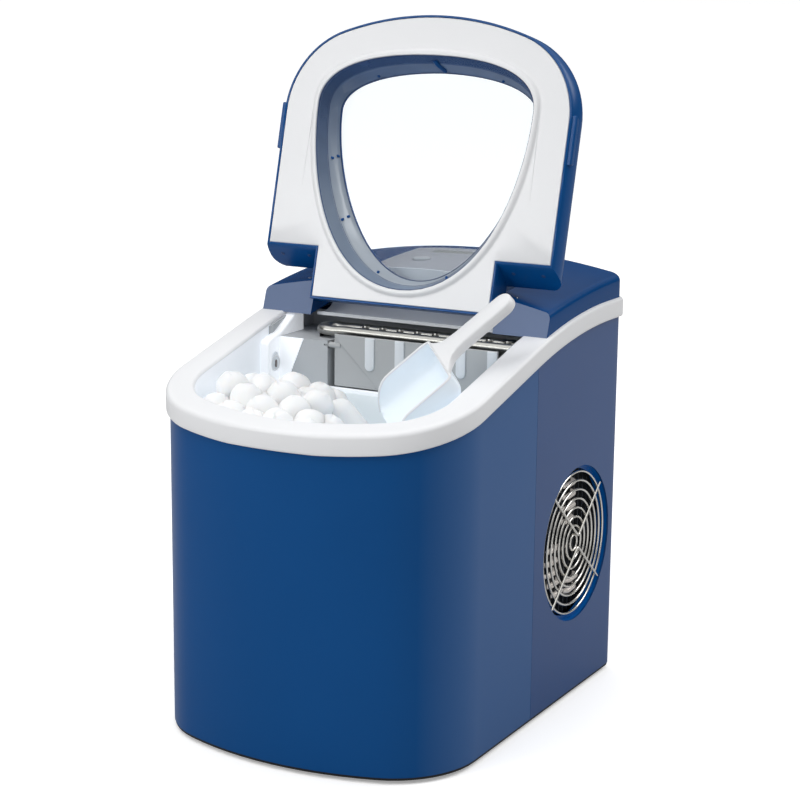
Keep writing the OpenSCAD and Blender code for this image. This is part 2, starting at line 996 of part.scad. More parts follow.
module chamber_space(grow) {
    top = chamber_top + (grow > 0 ? 0 : cut);
    translate([-basin_hw + 2 - grow, basin_rear - 2, step_z - grow])
        cube([2 * basin_hw - 4 + 2 * grow, chamber_d + 2 + grow, top - step_z + grow]);
    translate([chamber_l - grow, basin_rear - 2, chamber_z - grow])
        cube([chamber_r - chamber_l + 2 * grow, chamber_d + 2 + grow, step_z - chamber_z + grow + 0.1]);
}

// Side bosses that carry the ice sensors
boss_w = 8;
boss_d = 15;
module sensor_boss() {
    z0 = basket_z + basket_h + 2;
    translate([basin_hw - boss_w, basin_rear - boss_d, z0])
        cube([boss_w + 0.5, boss_d + 1, step_z - 4 - z0]);
}

sensor_y = basin_rear - 7;
sensor_z = step_z - 16;
module inner_tank() {
    color("#eceff2")
        difference() {
            union() {
                intersection() {
                    union() {
                        difference() {
                            union() {
                                tall(basin_outline(-liner_t, basin_rear), ledge_z - liner_t, far);
                                tall(basin_outline(ledge_w - liner_t, basin_rear),
                                    reservoir_z - liner_t, ledge_z);
                                chamber_space(liner_t);
                            }
                            tall(basin_outline(0, basin_rear), ledge_z, far + cut);
                            tall(basin_outline(ledge_w, basin_rear), reservoir_z, ledge_z + cut);
                            chamber_space(0);
                        }
                        mirrored_x()
                            sensor_boss();
                    }
                    below_edge(trim_h - deck_t);
                    translate([-far, -far, 0])
                        cube([2 * far, 2 * far, chamber_top]);
                }
                translate([drain_x, drain_y, pan_top])
                    cylinder(r = drain_r + 2.5, h = reservoir_z - pan_top - 0.5, $fn = 48);
                translate([pump_at[0], pump_at[1], pump_top + fit])
                    cylinder(r = 6, h = reservoir_z - pump_top - 0.5 - fit, $fn = 36);
            }
            translate([pump_at[0], pump_at[1], pump_top])
                cylinder(r = 4, h = reservoir_z, $fn = 36);
            translate([0, nozzle[0], nozzle[1]])
                along_x(chamber_r - cut, far, hose_r + 0.1);
            translate([drain_x, drain_y, 0])
                cylinder(r = drain_r, h = reservoir_z + cut, $fn = 48);
            for (y = [tube_y1, tube_y2])
                translate([0, y, evaporator_z])
                    along_x(chamber_r, far, tube_r);
            translate([0, tube_y2, tray_z])
                along_x(chamber_l - liner_t - cut, far, stub_r + run);
            translate([0, shovel_y, shovel_z])
                along_x(chamber_l - liner_t - cut, far, stub_r + run);
            mirrored_x()
                translate([basin_hw - boss_w - cut, sensor_y, sensor_z])
                    rotate([0, 90, 0])
                        cylinder(r = 5, h = 2.5 + cut, $fn = 36);
        }
}

module sensor_windows() {
    color("#b9a79a")
        mirrored_x()
            translate([basin_hw - boss_w - 0.4, sensor_y, sensor_z])
                rotate([0, 90, 0])
                    cylinder(r = 5, h = 2.9, $fn = 36);
}

module tank_foam() {
    color("#f7f7f2")
        difference() {
            tall(basin_outline(-liner_t - fit - foam_t, basin_rear + 2), reservoir_z - 12, chamber_z - 8);
            tall(basin_outline(-liner_t - fit, basin_rear), ledge_z - liner_t - fit, far);
            tall(basin_outline(ledge_w - liner_t - fit, basin_rear), reservoir_z - liner_t, far);
            translate([drain_x, drain_y, 0])
                cylinder(r = drain_r + 2.5 + fit, h = far, $fn = 48);
            translate([pump_at[0], pump_at[1], 0])
                cylinder(r = 6 + fit, h = far, $fn = 36);
        }
}

module drain_plug() {
    color("#2a2c30")
        translate([drain_x, drain_y, 0])
            union() {
                translate([0, 0, 1])
                    cylinder(r = drain_r + 3.5, h = pan_top - 1 - fit, $fn = 48);
                translate([0, 0, 1])
                    cylinder(r = drain_r - run, h = pan_top + 14, $fn = 48);
                for (a = [0:45:315])
                    rotate([0, 0, a])
                        translate([drain_r + 2.6, -1, 1])
                            cube([1.2, 2, pan_top - 1 - fit]);
            }
}

module level_probe() {
    probe_x = basin_hw - ledge_w;
    color("#c8ccd2")
        translate([probe_x, basin_rear - 60, reservoir_z + 22])
            union() {
                rotate([0, -90, 0])
                    cylinder(r = 4, h = 2, $fn = 32);
                translate([-2, 0, 0])
                    sphere(r = 2, $fn = 24);
                rotate([0, -90, 0])
                    cylinder(r = 2, h = 2.2, $fn = 24);
            }
}

basket_z = ledge_z;
basket_rear = basin_rear - 3.4 + basket_gap;

// Basket's plan, with its rear corners stepped in to pass the sensor bosses
module basket_block(inset, z0, z1) {
    step = inset - basket_gap + 1.2;
    difference() {
        tall(basin_outline(inset, basket_rear), z0, z1);
        mirrored_x()
            translate([basin_hw - boss_w - step, basin_rear - boss_d - step, z0 - cut])
                cube([far, far, z1 - z0 + 2 * cut]);
    }
}

module ice_basket() {
    g = basket_gap;
    top = basket_z + basket_h;
    color("#eef3f6")
        difference() {
            basket_block(g, basket_z, top);
            basket_block(g + basket_t, basket_z + basket_t, top + cut);
            for (i = [-4:4], j = [0:2])
                translate([i * 18 - slot_w / 2, basin_front + 26 + j * 34, basket_z - cut])
                    cube([slot_w, 26, basket_t + 2 * cut]);
            for (i = [-2:2])
                translate([i * 30 - 8, basket_rear - g - basket_t - cut, basket_z + 20])
                    cube([16, basket_t + 2 * cut, slot_w]);
            mirrored_x()
                translate([basin_hw - g - basket_t - cut, basket_rear - 74, top - 20])
                    cube([basket_t + 2 * cut, 40, 10]);
        }
}

// Heap of bullet ice in the left of the basket, undercut where the scoop slides down
module ice_heap() {
    g = basket_gap + basket_t + fit;
    z0 = basket_z + basket_t;
    rim = basket_z + basket_h;
    lumps = [
        [-79, -86, 18], [-78, -108, 6], [-62, -70, 15], [-60, -97, 13], [-46, -54, 15], [-40, -80, 14],
        [-40, -107, 8], [-38, -123, 2], [-20, -118, 3], [-21, -94, 8], [-14, -74, 9], [-78, -60, 12],
        [-60, -40, 8], [-30, -46, 8], [2, -120, 0]
    ];
    color("#f4f6f7")
        intersection() {
            basket_block(g, z0, far);
            union() {
                intersection() {
                    basket_block(g, z0, rim - 4);
                    rotate([90, 0, 0])
                        linear_extrude(far, center = true)
                            polygon([[-far, z0], [-48, z0], [0, rim], [-far, rim]]);
                }
                for (p = lumps)
                    translate([p[0], basin_rear + p[1], rim + p[2] - 4])
                        rotate([30 * sin(37 * p[0]), 40 * cos(23 * p[1]), 0])
                            union() {
                                sphere(r = 12, $fn = 32);
                                translate([0, 0, -22])
                                    cylinder(r = 12, h = 22, $fn = 32);
                            }
            }
        }
}

// ---------------------------------------------------------------- scoop

scoop_at = [basin_hw - 25, y_front + 101, edge_z(y_front + 101) + trim_h + 13.4];
scoop_turn = [42.6, 14.2, -45.8];

module u_shape(w, d, r) {
    translate([-w / 2, r - d])
        square([w, d - r]);
    translate([r - w / 2, -d])
        square([w - 2 * r, r + 0.01]);
    for (side = [-1, 1])
        translate([side * (w / 2 - r), r - d])
            circle(r = r, $fn = 48);
}

module scoop() {
    r = 16;
    root = 8;
    color("#e6edf3")
        translate(scoop_at)
            rotate(scoop_turn)
                union() {
                    intersection() {
                        difference() {
                            rotate([90, 0, 0])
                                linear_extrude(scoop_len)
                                    u_shape(scoop_w, scoop_depth, r);
                            translate([0, -scoop_t, 0])
                                rotate([90, 0, 0])
                                    linear_extrude(scoop_len)
                                        translate([0, 0.01])
                                            u_shape(scoop_w - 2 * scoop_t, scoop_depth - scoop_t, r - scoop_t);
                        }
                        rotate([90, 0, 90])
                            linear_extrude(far, center = true)
                                polygon([
                                    [cut, cut], [-0.62 * scoop_len, cut], [-0.8 * scoop_len, -3],
                                    [-0.93 * scoop_len, -9], [-scoop_len, -scoop_depth - cut],
                                    [cut, -scoop_depth - cut]
                                ]);
                    }
                    linear_extrude(handle_t / 2, center = true)
                        difference() {
                            polygon([
                                [-scoop_w / 2 + 6, -0.2], [-handle_w / 2 - 4, root], [-handle_w / 2, 2 * root],
                                [handle_w / 2, 2 * root], [handle_w / 2 + 4, root], [scoop_w / 2 - 6, -0.2]
                            ]);
                            translate([-far / 2, -far])
                                square([far, far - 0.2]);
                        }
                    translate([0, 0, -handle_t / 2])
                        linear_extrude(handle_t)
                            union() {
                                translate([-handle_w / 2, 0])
                                    square([handle_w, handle_len - handle_w / 2]);
                                translate([0, handle_len - handle_w / 2])
                                    circle(r = handle_w / 2, $fn = 48);
                            }
                }
}

// ---------------------------------------------------------------- ice making

finger_x0 = chamber_r - 12 - (fingers - 1) * finger_pitch;
module evaporator() {
    mid = (tube_y1 + tube_y2) / 2;
    left = tray_l - 12;
    color("#cfd3d6")
        union() {
            for (y = [tube_y1, tube_y2])
                translate([0, y, evaporator_z])
                    along_x(left, chamber_r + 3, tube_r);
            translate([left, mid, evaporator_z])
                rotate([0, 0, 90])
                    rotate_extrude(angle = 180, $fn = 48)
                        translate([tube_pitch / 2, 0])
                            circle(r = tube_r, $fn = 24);
            for (i = [0:fingers - 1])
                translate([finger_x0 + i * finger_pitch, tube_y2, evaporator_z - finger_len + 4])
                    union() {
                        cylinder(r = 4, h = finger_len - 4, $fn = 24);
                        sphere(r = 4, $fn = 24);
                    }
        }
}

module water_tray() {
    r1 = trough_r + tray_t;
    trough = [200, 340];
    fan = [for (i = [0:7]) let (a = trough[0] + (trough[1] - trough[0]) * i / 7) far * [cos(a), sin(a)]];
    color("#dfe3e6")
        translate([0, tube_y2, tray_z])
            union() {
                intersection() {
                    difference() {
                        along_x(tray_l, tray_r, r1);
                        along_x(tray_l + tray_t, tray_r - tray_t, trough_r);
                    }
                    rotate([90, 0, 90])
                        linear_extrude(far, center = true)
                            polygon(concat([[0, 6]], fan));
                }
                along_x(tray_l, tray_l + tray_t, stub_r + 3);
                along_x(tray_r - tray_t, tray_r, stub_r + 3);
                along_x(chamber_l - liner_t - 6, tray_l + 0.5, stub_r);
                along_x(tray_r - 0.5, chamber_r + liner_t, stub_r);
            }
}

module tray_motor() {
    x1 = chamber_l - liner_t;
    color("#33373c")
        difference() {
            translate([x1 - 36, tube_y2 - 17, tray_z - 18])
                cube([36, 34, min(36, step_z - liner_t - fit - tray_z + 18)]);
            translate([0, tube_y2, tray_z])
                along_x(x1 - 7, x1 + cut, stub_r + run);
        }
}

module ice_shovel() {
    l = tray_l + 1;
    r = basin_hw - boss_w - 1.5;
    ribs = 5;
    rib_pitch = 26;
    rib_x0 = r - 6 - (ribs - 1) * rib_pitch;
    top = evaporator_z - shovel_z;
    color("#b7bcbf")
        translate([0, shovel_y, shovel_z])
            union() {
                difference() {
                    translate([l, -shovel_t, -shovel_len])
                        cube([r - l, shovel_t, shovel_len + top]);
                    translate([l - cut, -shovel_t - cut, -shovel_len - cut])
                        rotate([90, 0, 90])
                            linear_extrude(20)
                                polygon([[0, 0], [12, 0], [0, 16]]);
                }
                along_x(chamber_l - liner_t - 1, chamber_r + liner_t, stub_r);
                for (i = [0:ribs - 1])
                    translate([rib_x0 + i * rib_pitch - 4, -shovel_t - 1.4, 4 - shovel_len + 4])
                        cube([8, 1.5, shovel_len + top - 10]);
                for (i = [0:ribs - 1])
                    translate([rib_x0 + i * rib_pitch, -shovel_t - 1.4, 8 - shovel_len])
                        rotate([-90, 0, 0])
                            cylinder(r = 4, h = 1.5, $fn = 32);
            }
}

pump_at = [basin_hw - 51, basin_front + 70, pan_top];
pump_top = pan_top + 37;
hose_r = 3.5;
hose_x = basin_hw + liner_t + foam_t + fit + 5;
nozzle = [tube_y2 + trough_r - 0.5, tray_z + trough_r + 0.5];
module water_pump() {
    color("#24272b")
        translate(pump_at)
            union() {
                translate([-20, -16, 0])
                    cube([40, 32, 3]);
                translate([0, 0, 3 - 0.01])
                    cylinder(r = 15, h = 26, $fn = 48);
                translate([0, 0, 28])
                    cylinder(r = 8, h = 9, $fn = 36);
                translate([0, 0, 20])
                    along_x(0, 24, 4);
            }
}

module water_hose() {
    color("#cfd6da", 0.8)
        pipe([
            pump_at + [24, 0, 20], [hose_x - 6, pump_at[1], pan_top + 20],
            [hose_x, pump_at[1] + 20, pan_top + 40], [hose_x, basin_rear - 20, chamber_z],
            [hose_x, nozzle[0], nozzle[1]],
            [chamber_r - 11, nozzle[0], nozzle[1]]
        ], hose_r);
}

// ---------------------------------------------------------------- cooling

module compressor() {
    color("#1b1c1e")
        translate([comp_x, comp_y, comp_z])
            union() {
                for (a = [30, 150, 270])
                    rotate([0, 0, a])
                        translate([0, -11, 0])
                            cube([comp_r + 8, 22, 2]);
                for (p = comp_ports)
                    translate([p[0], p[1], comp_h / 2])
                        cylinder(r = 2.5, h = comp_h / 2 + 8, $fn = 24);
                translate([0, 0, 1])
                    rotate_extrude($fn = 72)
                        polygon([
                            [0, 0], [comp_r - 8, 0], [comp_r - 1.5, 10], [comp_r - 1.5, comp_h / 2 - 3],
                            [comp_r, comp_h / 2 - 3], [comp_r, comp_h / 2 + 3], [comp_r - 1.5, comp_h / 2 + 3],
                            [comp_r - 2, comp_h - 26], [comp_r - 9, comp_h - 11], [comp_r - 22, comp_h - 3],
                            [0, comp_h]
                        ]);
            }
}

module compressor_mounts() {
    color("#3b3330")
        for (a = [30, 150, 270])
            translate([comp_x, comp_y, pan_top])
                rotate([0, 0, a])
                    translate([comp_r + 1, 0, 0])
                        cylinder(r1 = 7, r2 = 5.5, h = comp_z - pan_top, $fn = 36);
}

fin_n = 16;
tube_rows = 5;
row_pitch = 2 * condenser_half / tube_rows;
function row_z(i) = fan_z - condenser_half + row_pitch * (i + 0.5);
module condenser() {
    h = condenser_half;
    step = 2 * h / (fin_n - 1);
    color("#b8bcc0")
        union() {
            for (i = [0:fin_n - 1])
                translate([condenser_x0, fan_y - h + i * step - 0.4, fan_z - h])
                    cube([condenser_x1 - condenser_x0, 0.8, 2 * h]);
            for (side = [-1, 1])
                translate([condenser_x0, fan_y + side * h - 0.6, pan_top])
                    cube([condenser_x1 - condenser_x0, 1.2, fan_z + h - pan_top]);
            for (i = [0:tube_rows - 1])
                translate([condenser_x, fan_y - h - 5, row_z(i)])
                    rotate([-90, 0, 0])
                        cylinder(r = 3, h = 2 * h + 10, $fn = 24);
            for (i = [0:tube_rows - 2])
                translate([condenser_x, fan_y + (i % 2 == 0 ? -1 : 1) * (h + 5), row_z(i)])
                    cylinder(r = 3, h = row_pitch, $fn = 24);
        }
}

module fan_motor() {
    color("#2b2d31")
        translate([0, fan_y, fan_z])
            union() {
                along_x(ring_x0 - motor_len + 4, ring_x0 + 4, motor_r);
                along_x(ring_x0, rotor_x1 - 3, shaft_r);
            }
}

module fan_rotor() {
    blade = rotor_r - hub_r + 4;
    color("#17181b")
        translate([0, fan_y, fan_z])
            difference() {
                union() {
                    along_x(rotor_x0, rotor_x1, hub_r);
                    for (i = [0:blades - 1])
                        rotate([i * 360 / blades, 0, 0])
                            translate([(rotor_x0 + rotor_x1) / 2, 0, hub_r - 2])
                                rotate([0, 0, 60])
                                    translate([-0.8, -9.5, 0])
                                        cube([1.6, 19, blade]);
                }
                along_x(rotor_x0 - 2, rotor_x1 + 2, shaft_r + run);
                difference() {
                    along_x(rotor_x0 - 20, rotor_x1 + 20, far);
                    along_x(rotor_x0 - 21, rotor_x1 + 21, rotor_r);
                }
            }
}

// Box behind the condenser that narrows to a ring round the rotor
module fan_shroud() {
    h = condenser_half - 1.2;
    r0 = rotor_r + 1.5;
    color("#26282c")
        translate([0, fan_y, fan_z])
            difference() {
                union() {
                    difference() {
                        translate([rotor_x1 - 2, -h, -h])
                            cube([condenser_x0 - fit - rotor_x1 + 2, 2 * h, 2 * h]);
                        translate([rotor_x1, 1.6 - h, 1.6 - h])
                            cube([far, 2 * h - 3.2, 2 * h - 3.2]);
                    }
                    along_x(ring_x0, rotor_x1, r0 + 1.5);
                }
                difference() {
                    along_x(ring_x0 - cut, rotor_x1 + cut, r0);
                    along_x(ring_x0, ring_x0 + 3, motor_r + 3);
                    for (a = [90, 210, 330])
                        rotate([a, 0, 0])
                            translate([ring_x0, -3, motor_r + 1])
                                cube([3, 6, r0]);
                }
                along_x(ring_x0 - cut, ring_x0 + 3 + cut, motor_r);
            }
}

// Concentric wire rings on two V-bent stays, whose ends rest on the ledge in the hole
module fan_guard() {
    outer = fan_r - 5;
    stay = fan_r - 0.6;
    color("#d5d8db")
        translate([hw - 5.5 + wire_r, fan_y, fan_z])
            union() {
                for (r = [outer:-ring_pitch:3])
                    translate([1.6 * wire_r, 0, 0])
                        rotate([0, 90, 0])
                            rotate_extrude($fn = 48)
                                translate([r, 0])
                                    circle(r = wire_r, $fn = 14);
                for (s = [-1, 1])
                    pipe([
                        [0, stay * cos(133), s * stay * sin(133)], [0, 5, s * 4],
                        [0, stay * cos(40), s * stay * sin(40)]
                    ], wire_r);
            }
}

drier_at = [10, y_rear - 16, pan_top + 60];
drier_h = 66;
module filter_drier() {
    color("#b87b4a")
        translate(drier_at)
            rotate_extrude($fn = 36)
                polygon([
                    [0, 0], [2.5, 0], [2.5, 5], [8, 11], [8, drier_h - 11],
                    [2.5, drier_h - 5], [2.5, drier_h], [0, drier_h]
                ]);
}

valve_at = [10, fan_y - 44.3, 150];
module hot_gas_valve() {
    color("#2f3a45")
        translate(valve_at)
            union() {
                translate([-13, -11, 0])
                    cube([26, 22, 30]);
                translate([0, 0, -9])
                    cylinder(r = 6, h = 10, $fn = 36);
            }
}

module refrigerant_lines() {
    r = 2.5;
    start_x = chamber_r + 3;
    bend_x = start_x + 2.5;
    low_z = chamber_z - 15;
    port_z = comp_z + comp_h + 8;
    h = condenser_half;
    color("#b5713f")
        union() {
            pipe([
                [start_x, tube_y2, evaporator_z], [bend_x, tube_y2, evaporator_z],
                [bend_x, tube_y2, evaporator_z - 30], [bend_x, drier_at[1], low_z + 33],
                [drier_at[0], drier_at[1], low_z + 33], drier_at + [0, 0, drier_h]
            ], r);
            pipe([
                drier_at, drier_at - [0, 0, 20], [condenser_x, fan_y + h + 9, drier_at[2] - 20],
                [condenser_x, fan_y + h + 9, row_z(0)], [condenser_x, fan_y + h + 5.3, row_z(0)]
            ], r);
            pipe([
                [comp_x, comp_y, port_z], [comp_x, comp_y, valve_at[2] + 15],
                [valve_at[0] - 17, valve_at[1], valve_at[2] + 15],
                [valve_at[0] - 13, valve_at[1], valve_at[2] + 15]
            ], r);
            pipe([
                valve_at + [0, 0, 30], valve_at + [0, 0, 44],
                [condenser_x, fan_y - h - 10, valve_at[2] + 44],
                [condenser_x, fan_y - h - 10, row_z(tube_rows - 1)],
                [condenser_x, fan_y - h - 5.3, row_z(tube_rows - 1)]
            ], r);
            pipe([
                [start_x, tube_y1, evaporator_z], [bend_x, tube_y1, evaporator_z],
                [bend_x, tube_y1, low_z], [comp_x, comp_y + comp_ports[1][1], low_z],
                [comp_x, comp_y + comp_ports[1][1], port_z]
            ], r);
        }
}

// ---------------------------------------------------------------- electrics

board_at = [12 - hw, seam_y + 10, fan_z + 60];
board_size = [1.6, 70, 60];
module power_board() {
    face = board_at + [board_size[0] - 0.01, 0, 0];
    color("#2c6b43")
        union() {
            translate(board_at)
                cube(board_size);
            translate(face + [0, 10, 10])
                cube([18, 24, 26]);
            for (i = [0:2])
                translate(face + [0, 46, 10 + 16 * i])
                    rotate([0, 90, 0])
                        cylinder(r = 5, h = 14, $fn = 32);
        }
}

module board_standoffs() {
    color("#d8d8d0")
        for (y = [4, board_size[1] - 4], z = [4, board_size[2] - 4])
            translate([panel_t - hw, board_at[1] + y, board_at[2] + z])
                rotate([0, 90, 0])
                    cylinder(r = 3, h = board_at[0] + hw - panel_t, $fn = 24);
}

base_pan();
rubber_feet();
front_wrap();
right_panel();
left_panel();
rear_panel();
top_trim();
top_cover();
evaporator_cover();
hinge_pins();
control_panel();
display_lens();
indicator_lenses();
power_button();
select_button();
control_board();
lid_shell();
lid_inner_panel();
lid_window();
window_pegs();
inner_tank();
tank_foam();
sensor_windows();
drain_plug();
level_probe();
ice_basket();
ice_heap();
scoop();
evaporator();
water_tray();
tray_motor();
ice_shovel();
water_pump();
water_hose();
compressor();
compressor_mounts();
condenser();
fan_motor();
fan_rotor();
fan_shroud();
fan_guard();
filter_drier();
hot_gas_valve();
refrigerant_lines();
power_board();
board_standoffs();
cable_gland();
panel_screws();
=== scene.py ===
import bmesh
import bpy
import json
import math
import numpy as np
from mathutils import Matrix, Vector


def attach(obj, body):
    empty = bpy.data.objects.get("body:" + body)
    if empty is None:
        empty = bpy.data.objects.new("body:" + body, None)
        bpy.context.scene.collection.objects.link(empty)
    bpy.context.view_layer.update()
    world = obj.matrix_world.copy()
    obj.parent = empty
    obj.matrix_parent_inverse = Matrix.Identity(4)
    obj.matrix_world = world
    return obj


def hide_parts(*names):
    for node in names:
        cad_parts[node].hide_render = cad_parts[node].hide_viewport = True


# The looks of a countertop ice maker with its lid open. Every piece is built in the CAD's millimetres
# and scaled to metres when its mesh is finished.
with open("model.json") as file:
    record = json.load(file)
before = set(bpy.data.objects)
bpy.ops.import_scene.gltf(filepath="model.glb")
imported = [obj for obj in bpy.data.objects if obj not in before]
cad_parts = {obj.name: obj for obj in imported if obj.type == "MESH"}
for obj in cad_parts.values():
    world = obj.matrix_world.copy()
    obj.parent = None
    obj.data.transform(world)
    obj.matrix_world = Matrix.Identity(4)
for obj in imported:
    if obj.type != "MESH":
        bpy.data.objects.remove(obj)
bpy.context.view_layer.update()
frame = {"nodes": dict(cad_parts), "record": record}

# ---------------------------------------------------------------- driving dimensions in mm, as in the CAD
MM = 0.001                                  # metres in a millimetre
HW = 121.0                                  # half of the width across the panels
YF, YR = -158.5, 158.5                      # the bowed front's middle and the rear panel
FRONT_H = 230.3                             # height of the trim's lower edge at the front
FRONT_R, CORNER_R, REAR_R = 230.5, 66.2, 8  # radii of the bowed front, its corners and the rear corners
SHEET_T, SHEET_Z = 1.5, 5.0                 # thickness and lower edge of the painted panels
SIDE_D, GAP = 150.7, 0.3                    # depth of the side panels up to the open seam, and its width
TRIM_H, TRIM_PROUD = 14.0, 3.0              # height of the white band, and how far it stands out
DECK_T, EDGE_R = 3.0, 2.6                   # the deck's thickness and its rounded edge round the basin
SLOPE = math.radians(14.5)                  # slope of the top, front to back
SLOPE_RUN, FLAT_RUN = 162.0, 29.0           # depth of the straight slope and of the level part at the rear
LINER_HW, RIM_FRONT = 101.0, 16.0           # half of the basin's width, and the margin in front of it
BASIN_R, BASIN_CORNER_R = 200.0, 45.0       # radii of the basin's bowed front and of its corners
COVER_D, COVER_T, COVER_FILLET = 139.0, 2.5, 5.0
CROWN_H, CROWN_R, CROWN_LEN_R = 42.8, 580.0, 861.0
CROWN_BACK = 6.5                            # the crown's highest line lies this far behind the rear panel
CONTROL_HW, CONTROL_D = 52.0, 82.0          # half of the control panel's width, and its length
LID_LEN, LID_MID_T, LID_SIDE_T = 219.3, 25.5, 23.0
LID_OPEN, LID_GAP = math.radians(118.9), 0.6
TONGUE, TONGUE_HW = 38.8, 76.9              # length of the lid's tongue, and half of its width
LEAN, LEAN_H = 14.3, 22.0                   # the lid's rear faces lean back this far over this height
WINDOW_HW = 90.9                            # half of the window's greatest width
WINDOW_TOP, WINDOW_WIDE, WINDOW_LOW = 189.0, 149.5, 12.4  # its top, widest place and bottom, from the tongue
HINGE_B, HINGE_N = 15.8, 17.5               # the pins' place in the lid, from its tongue and inner face
HINGE_BACK = 17.9                           # and behind the feet of the cover's front faces
FAN_BACK, FAN_Z, FAN_R = 74.2, 121.7, 60.0  # the fan's centre from the rear and its height, and its hole
TUBE_Z, TUBE_R, TUBE_PITCH = 280.5, 3.9, 16.5
FINGERS, FINGER_PITCH, FINGER_LEN = 9, 15, 35
SCOOP_LEN, SCOOP_DEPTH, SCOOP_T = 62.0, 22.0, 1.8

SHOULDER_Y = YR - COVER_D                   # feet of the cover's front faces
BASIN_REAR = SHOULDER_Y - 19.5
SEAM_Y = YR - SIDE_D
FAN_Y = YR - FAN_BACK

# ---------------------------------------------------------------- camera, light and surroundings
# The camera's azimuth, elevation and roll, its place in metres and its lens were solved on the photograph
AZIMUTH, ELEVATION, ROLL = (math.radians(v) for v in (29.01, 12.16, 0.57))
CAMERA_AT = (0.7056, -1.2503, 0.5444)
LENS = 88.92
level = np.array([math.cos(AZIMUTH), math.sin(AZIMUTH), 0.0])
ahead = np.array([-math.sin(AZIMUTH), math.cos(AZIMUTH), 0.0]) * math.cos(ELEVATION)
ahead[2] = -math.sin(ELEVATION)
upright = np.cross(level, ahead)
right = level * math.cos(ROLL) + upright * math.sin(ROLL)
up = upright * math.cos(ROLL) - level * math.sin(ROLL)
cam_data = bpy.data.cameras.new("camera")
cam_data.sensor_width = 36.0
cam_data.lens = LENS
cam = bpy.data.objects.new("camera", cam_data)
bpy.context.collection.objects.link(cam)
cam.matrix_world = Matrix([*zip(right, up, -ahead, CAMERA_AT), (0, 0, 0, 1)])
bpy.context.scene.camera = cam
bpy.context.scene.view_settings.view_transform = "Standard"


def softbox(name, at, target, size, power):
    light = bpy.data.lights.new(name, "AREA")
    light.size = size
    light.energy = power
    o = bpy.data.objects.new(name, light)
    bpy.context.collection.objects.link(o)
    o.location = at
    o.rotation_euler = (Vector(target) - Vector(at)).to_track_quat("-Z", "Y").to_euler()
    o.visible_camera = False


softbox("front_box", (-0.97, -1.66, 0.98), (0, 0, 0.27), 0.7, 9.5)
softbox("right_box", (1.6, -1.4, 0.5), (0.1, 0, 0.15), 0.8, 3)
softbox("top_box", (-0.4, -0.9, 2.1), (0, 0, 0.3), 1.4, 8)
softbox("rear_box", (1.5, 1.5, 1.7), (0.7, 0.9, 0), 1.2, 18)


def lin(color):
    """sRGB 0..255 to a linear colour."""
    shares = (v / 255.0 for v in color)
    return (*(v / 12.92 if v <= 0.04045 else ((v + 0.055) / 1.055) ** 2.4 for v in shares), 1.0)


def add(tree, kind, **values):
    """Adds a shader node and sets inputs by name, where an underscore stands for a space."""
    node = tree.nodes.new("ShaderNode" + kind)
    for key, value in values.items():
        node.inputs[key.replace("_", " ")].default_value = value
    return node


def shades_between(tree, low, high, dark, light):
    """A colour ramp from dark at the share low to light at the share high."""
    node = add(tree, "ValToRGB")
    for stop, at, color in zip(node.color_ramp.elements, (low, high), (dark, light)):
        stop.position = at
        stop.color = color
    return node


# Soft surroundings: bright overhead, darker towards the horizon, white where the camera looks past the floor
world = bpy.data.worlds.new("world")
bpy.context.scene.world = world
world.use_nodes = True
tree = world.node_tree
sky = tree.nodes["Background"]
sky.inputs[0].default_value = (1, 1, 1, 1)
coord = add(tree, "TexCoord")
axes = add(tree, "SeparateXYZ")
height = add(tree, "MapRange", From_Min=0.28, From_Max=0.8, To_Min=0.06, To_Max=1.1)
path = add(tree, "LightPath")
brighter = add(tree, "Math")
brighter.operation = "MAXIMUM"
tree.links.new(coord.outputs["Generated"], axes.inputs[0])
tree.links.new(axes.outputs["Z"], height.inputs["Value"])
tree.links.new(height.outputs["Result"], brighter.inputs[0])
tree.links.new(path.outputs["Is Camera Ray"], brighter.inputs[1])
tree.links.new(brighter.outputs[0], sky.inputs[1])


# ---------------------------------------------------------------- materials
PAINTED_REFLECTION_FROM = 0.100  # metres off the middle where the painted reflection on the sides begins; it is full at the side panels


def noise(tree, vector, scale, detail=2.0):
    node = add(tree, "TexNoise", Scale=scale, Detail=detail)
    tree.links.new(vector, node.inputs["Vector"])
    return node.outputs["Fac"]


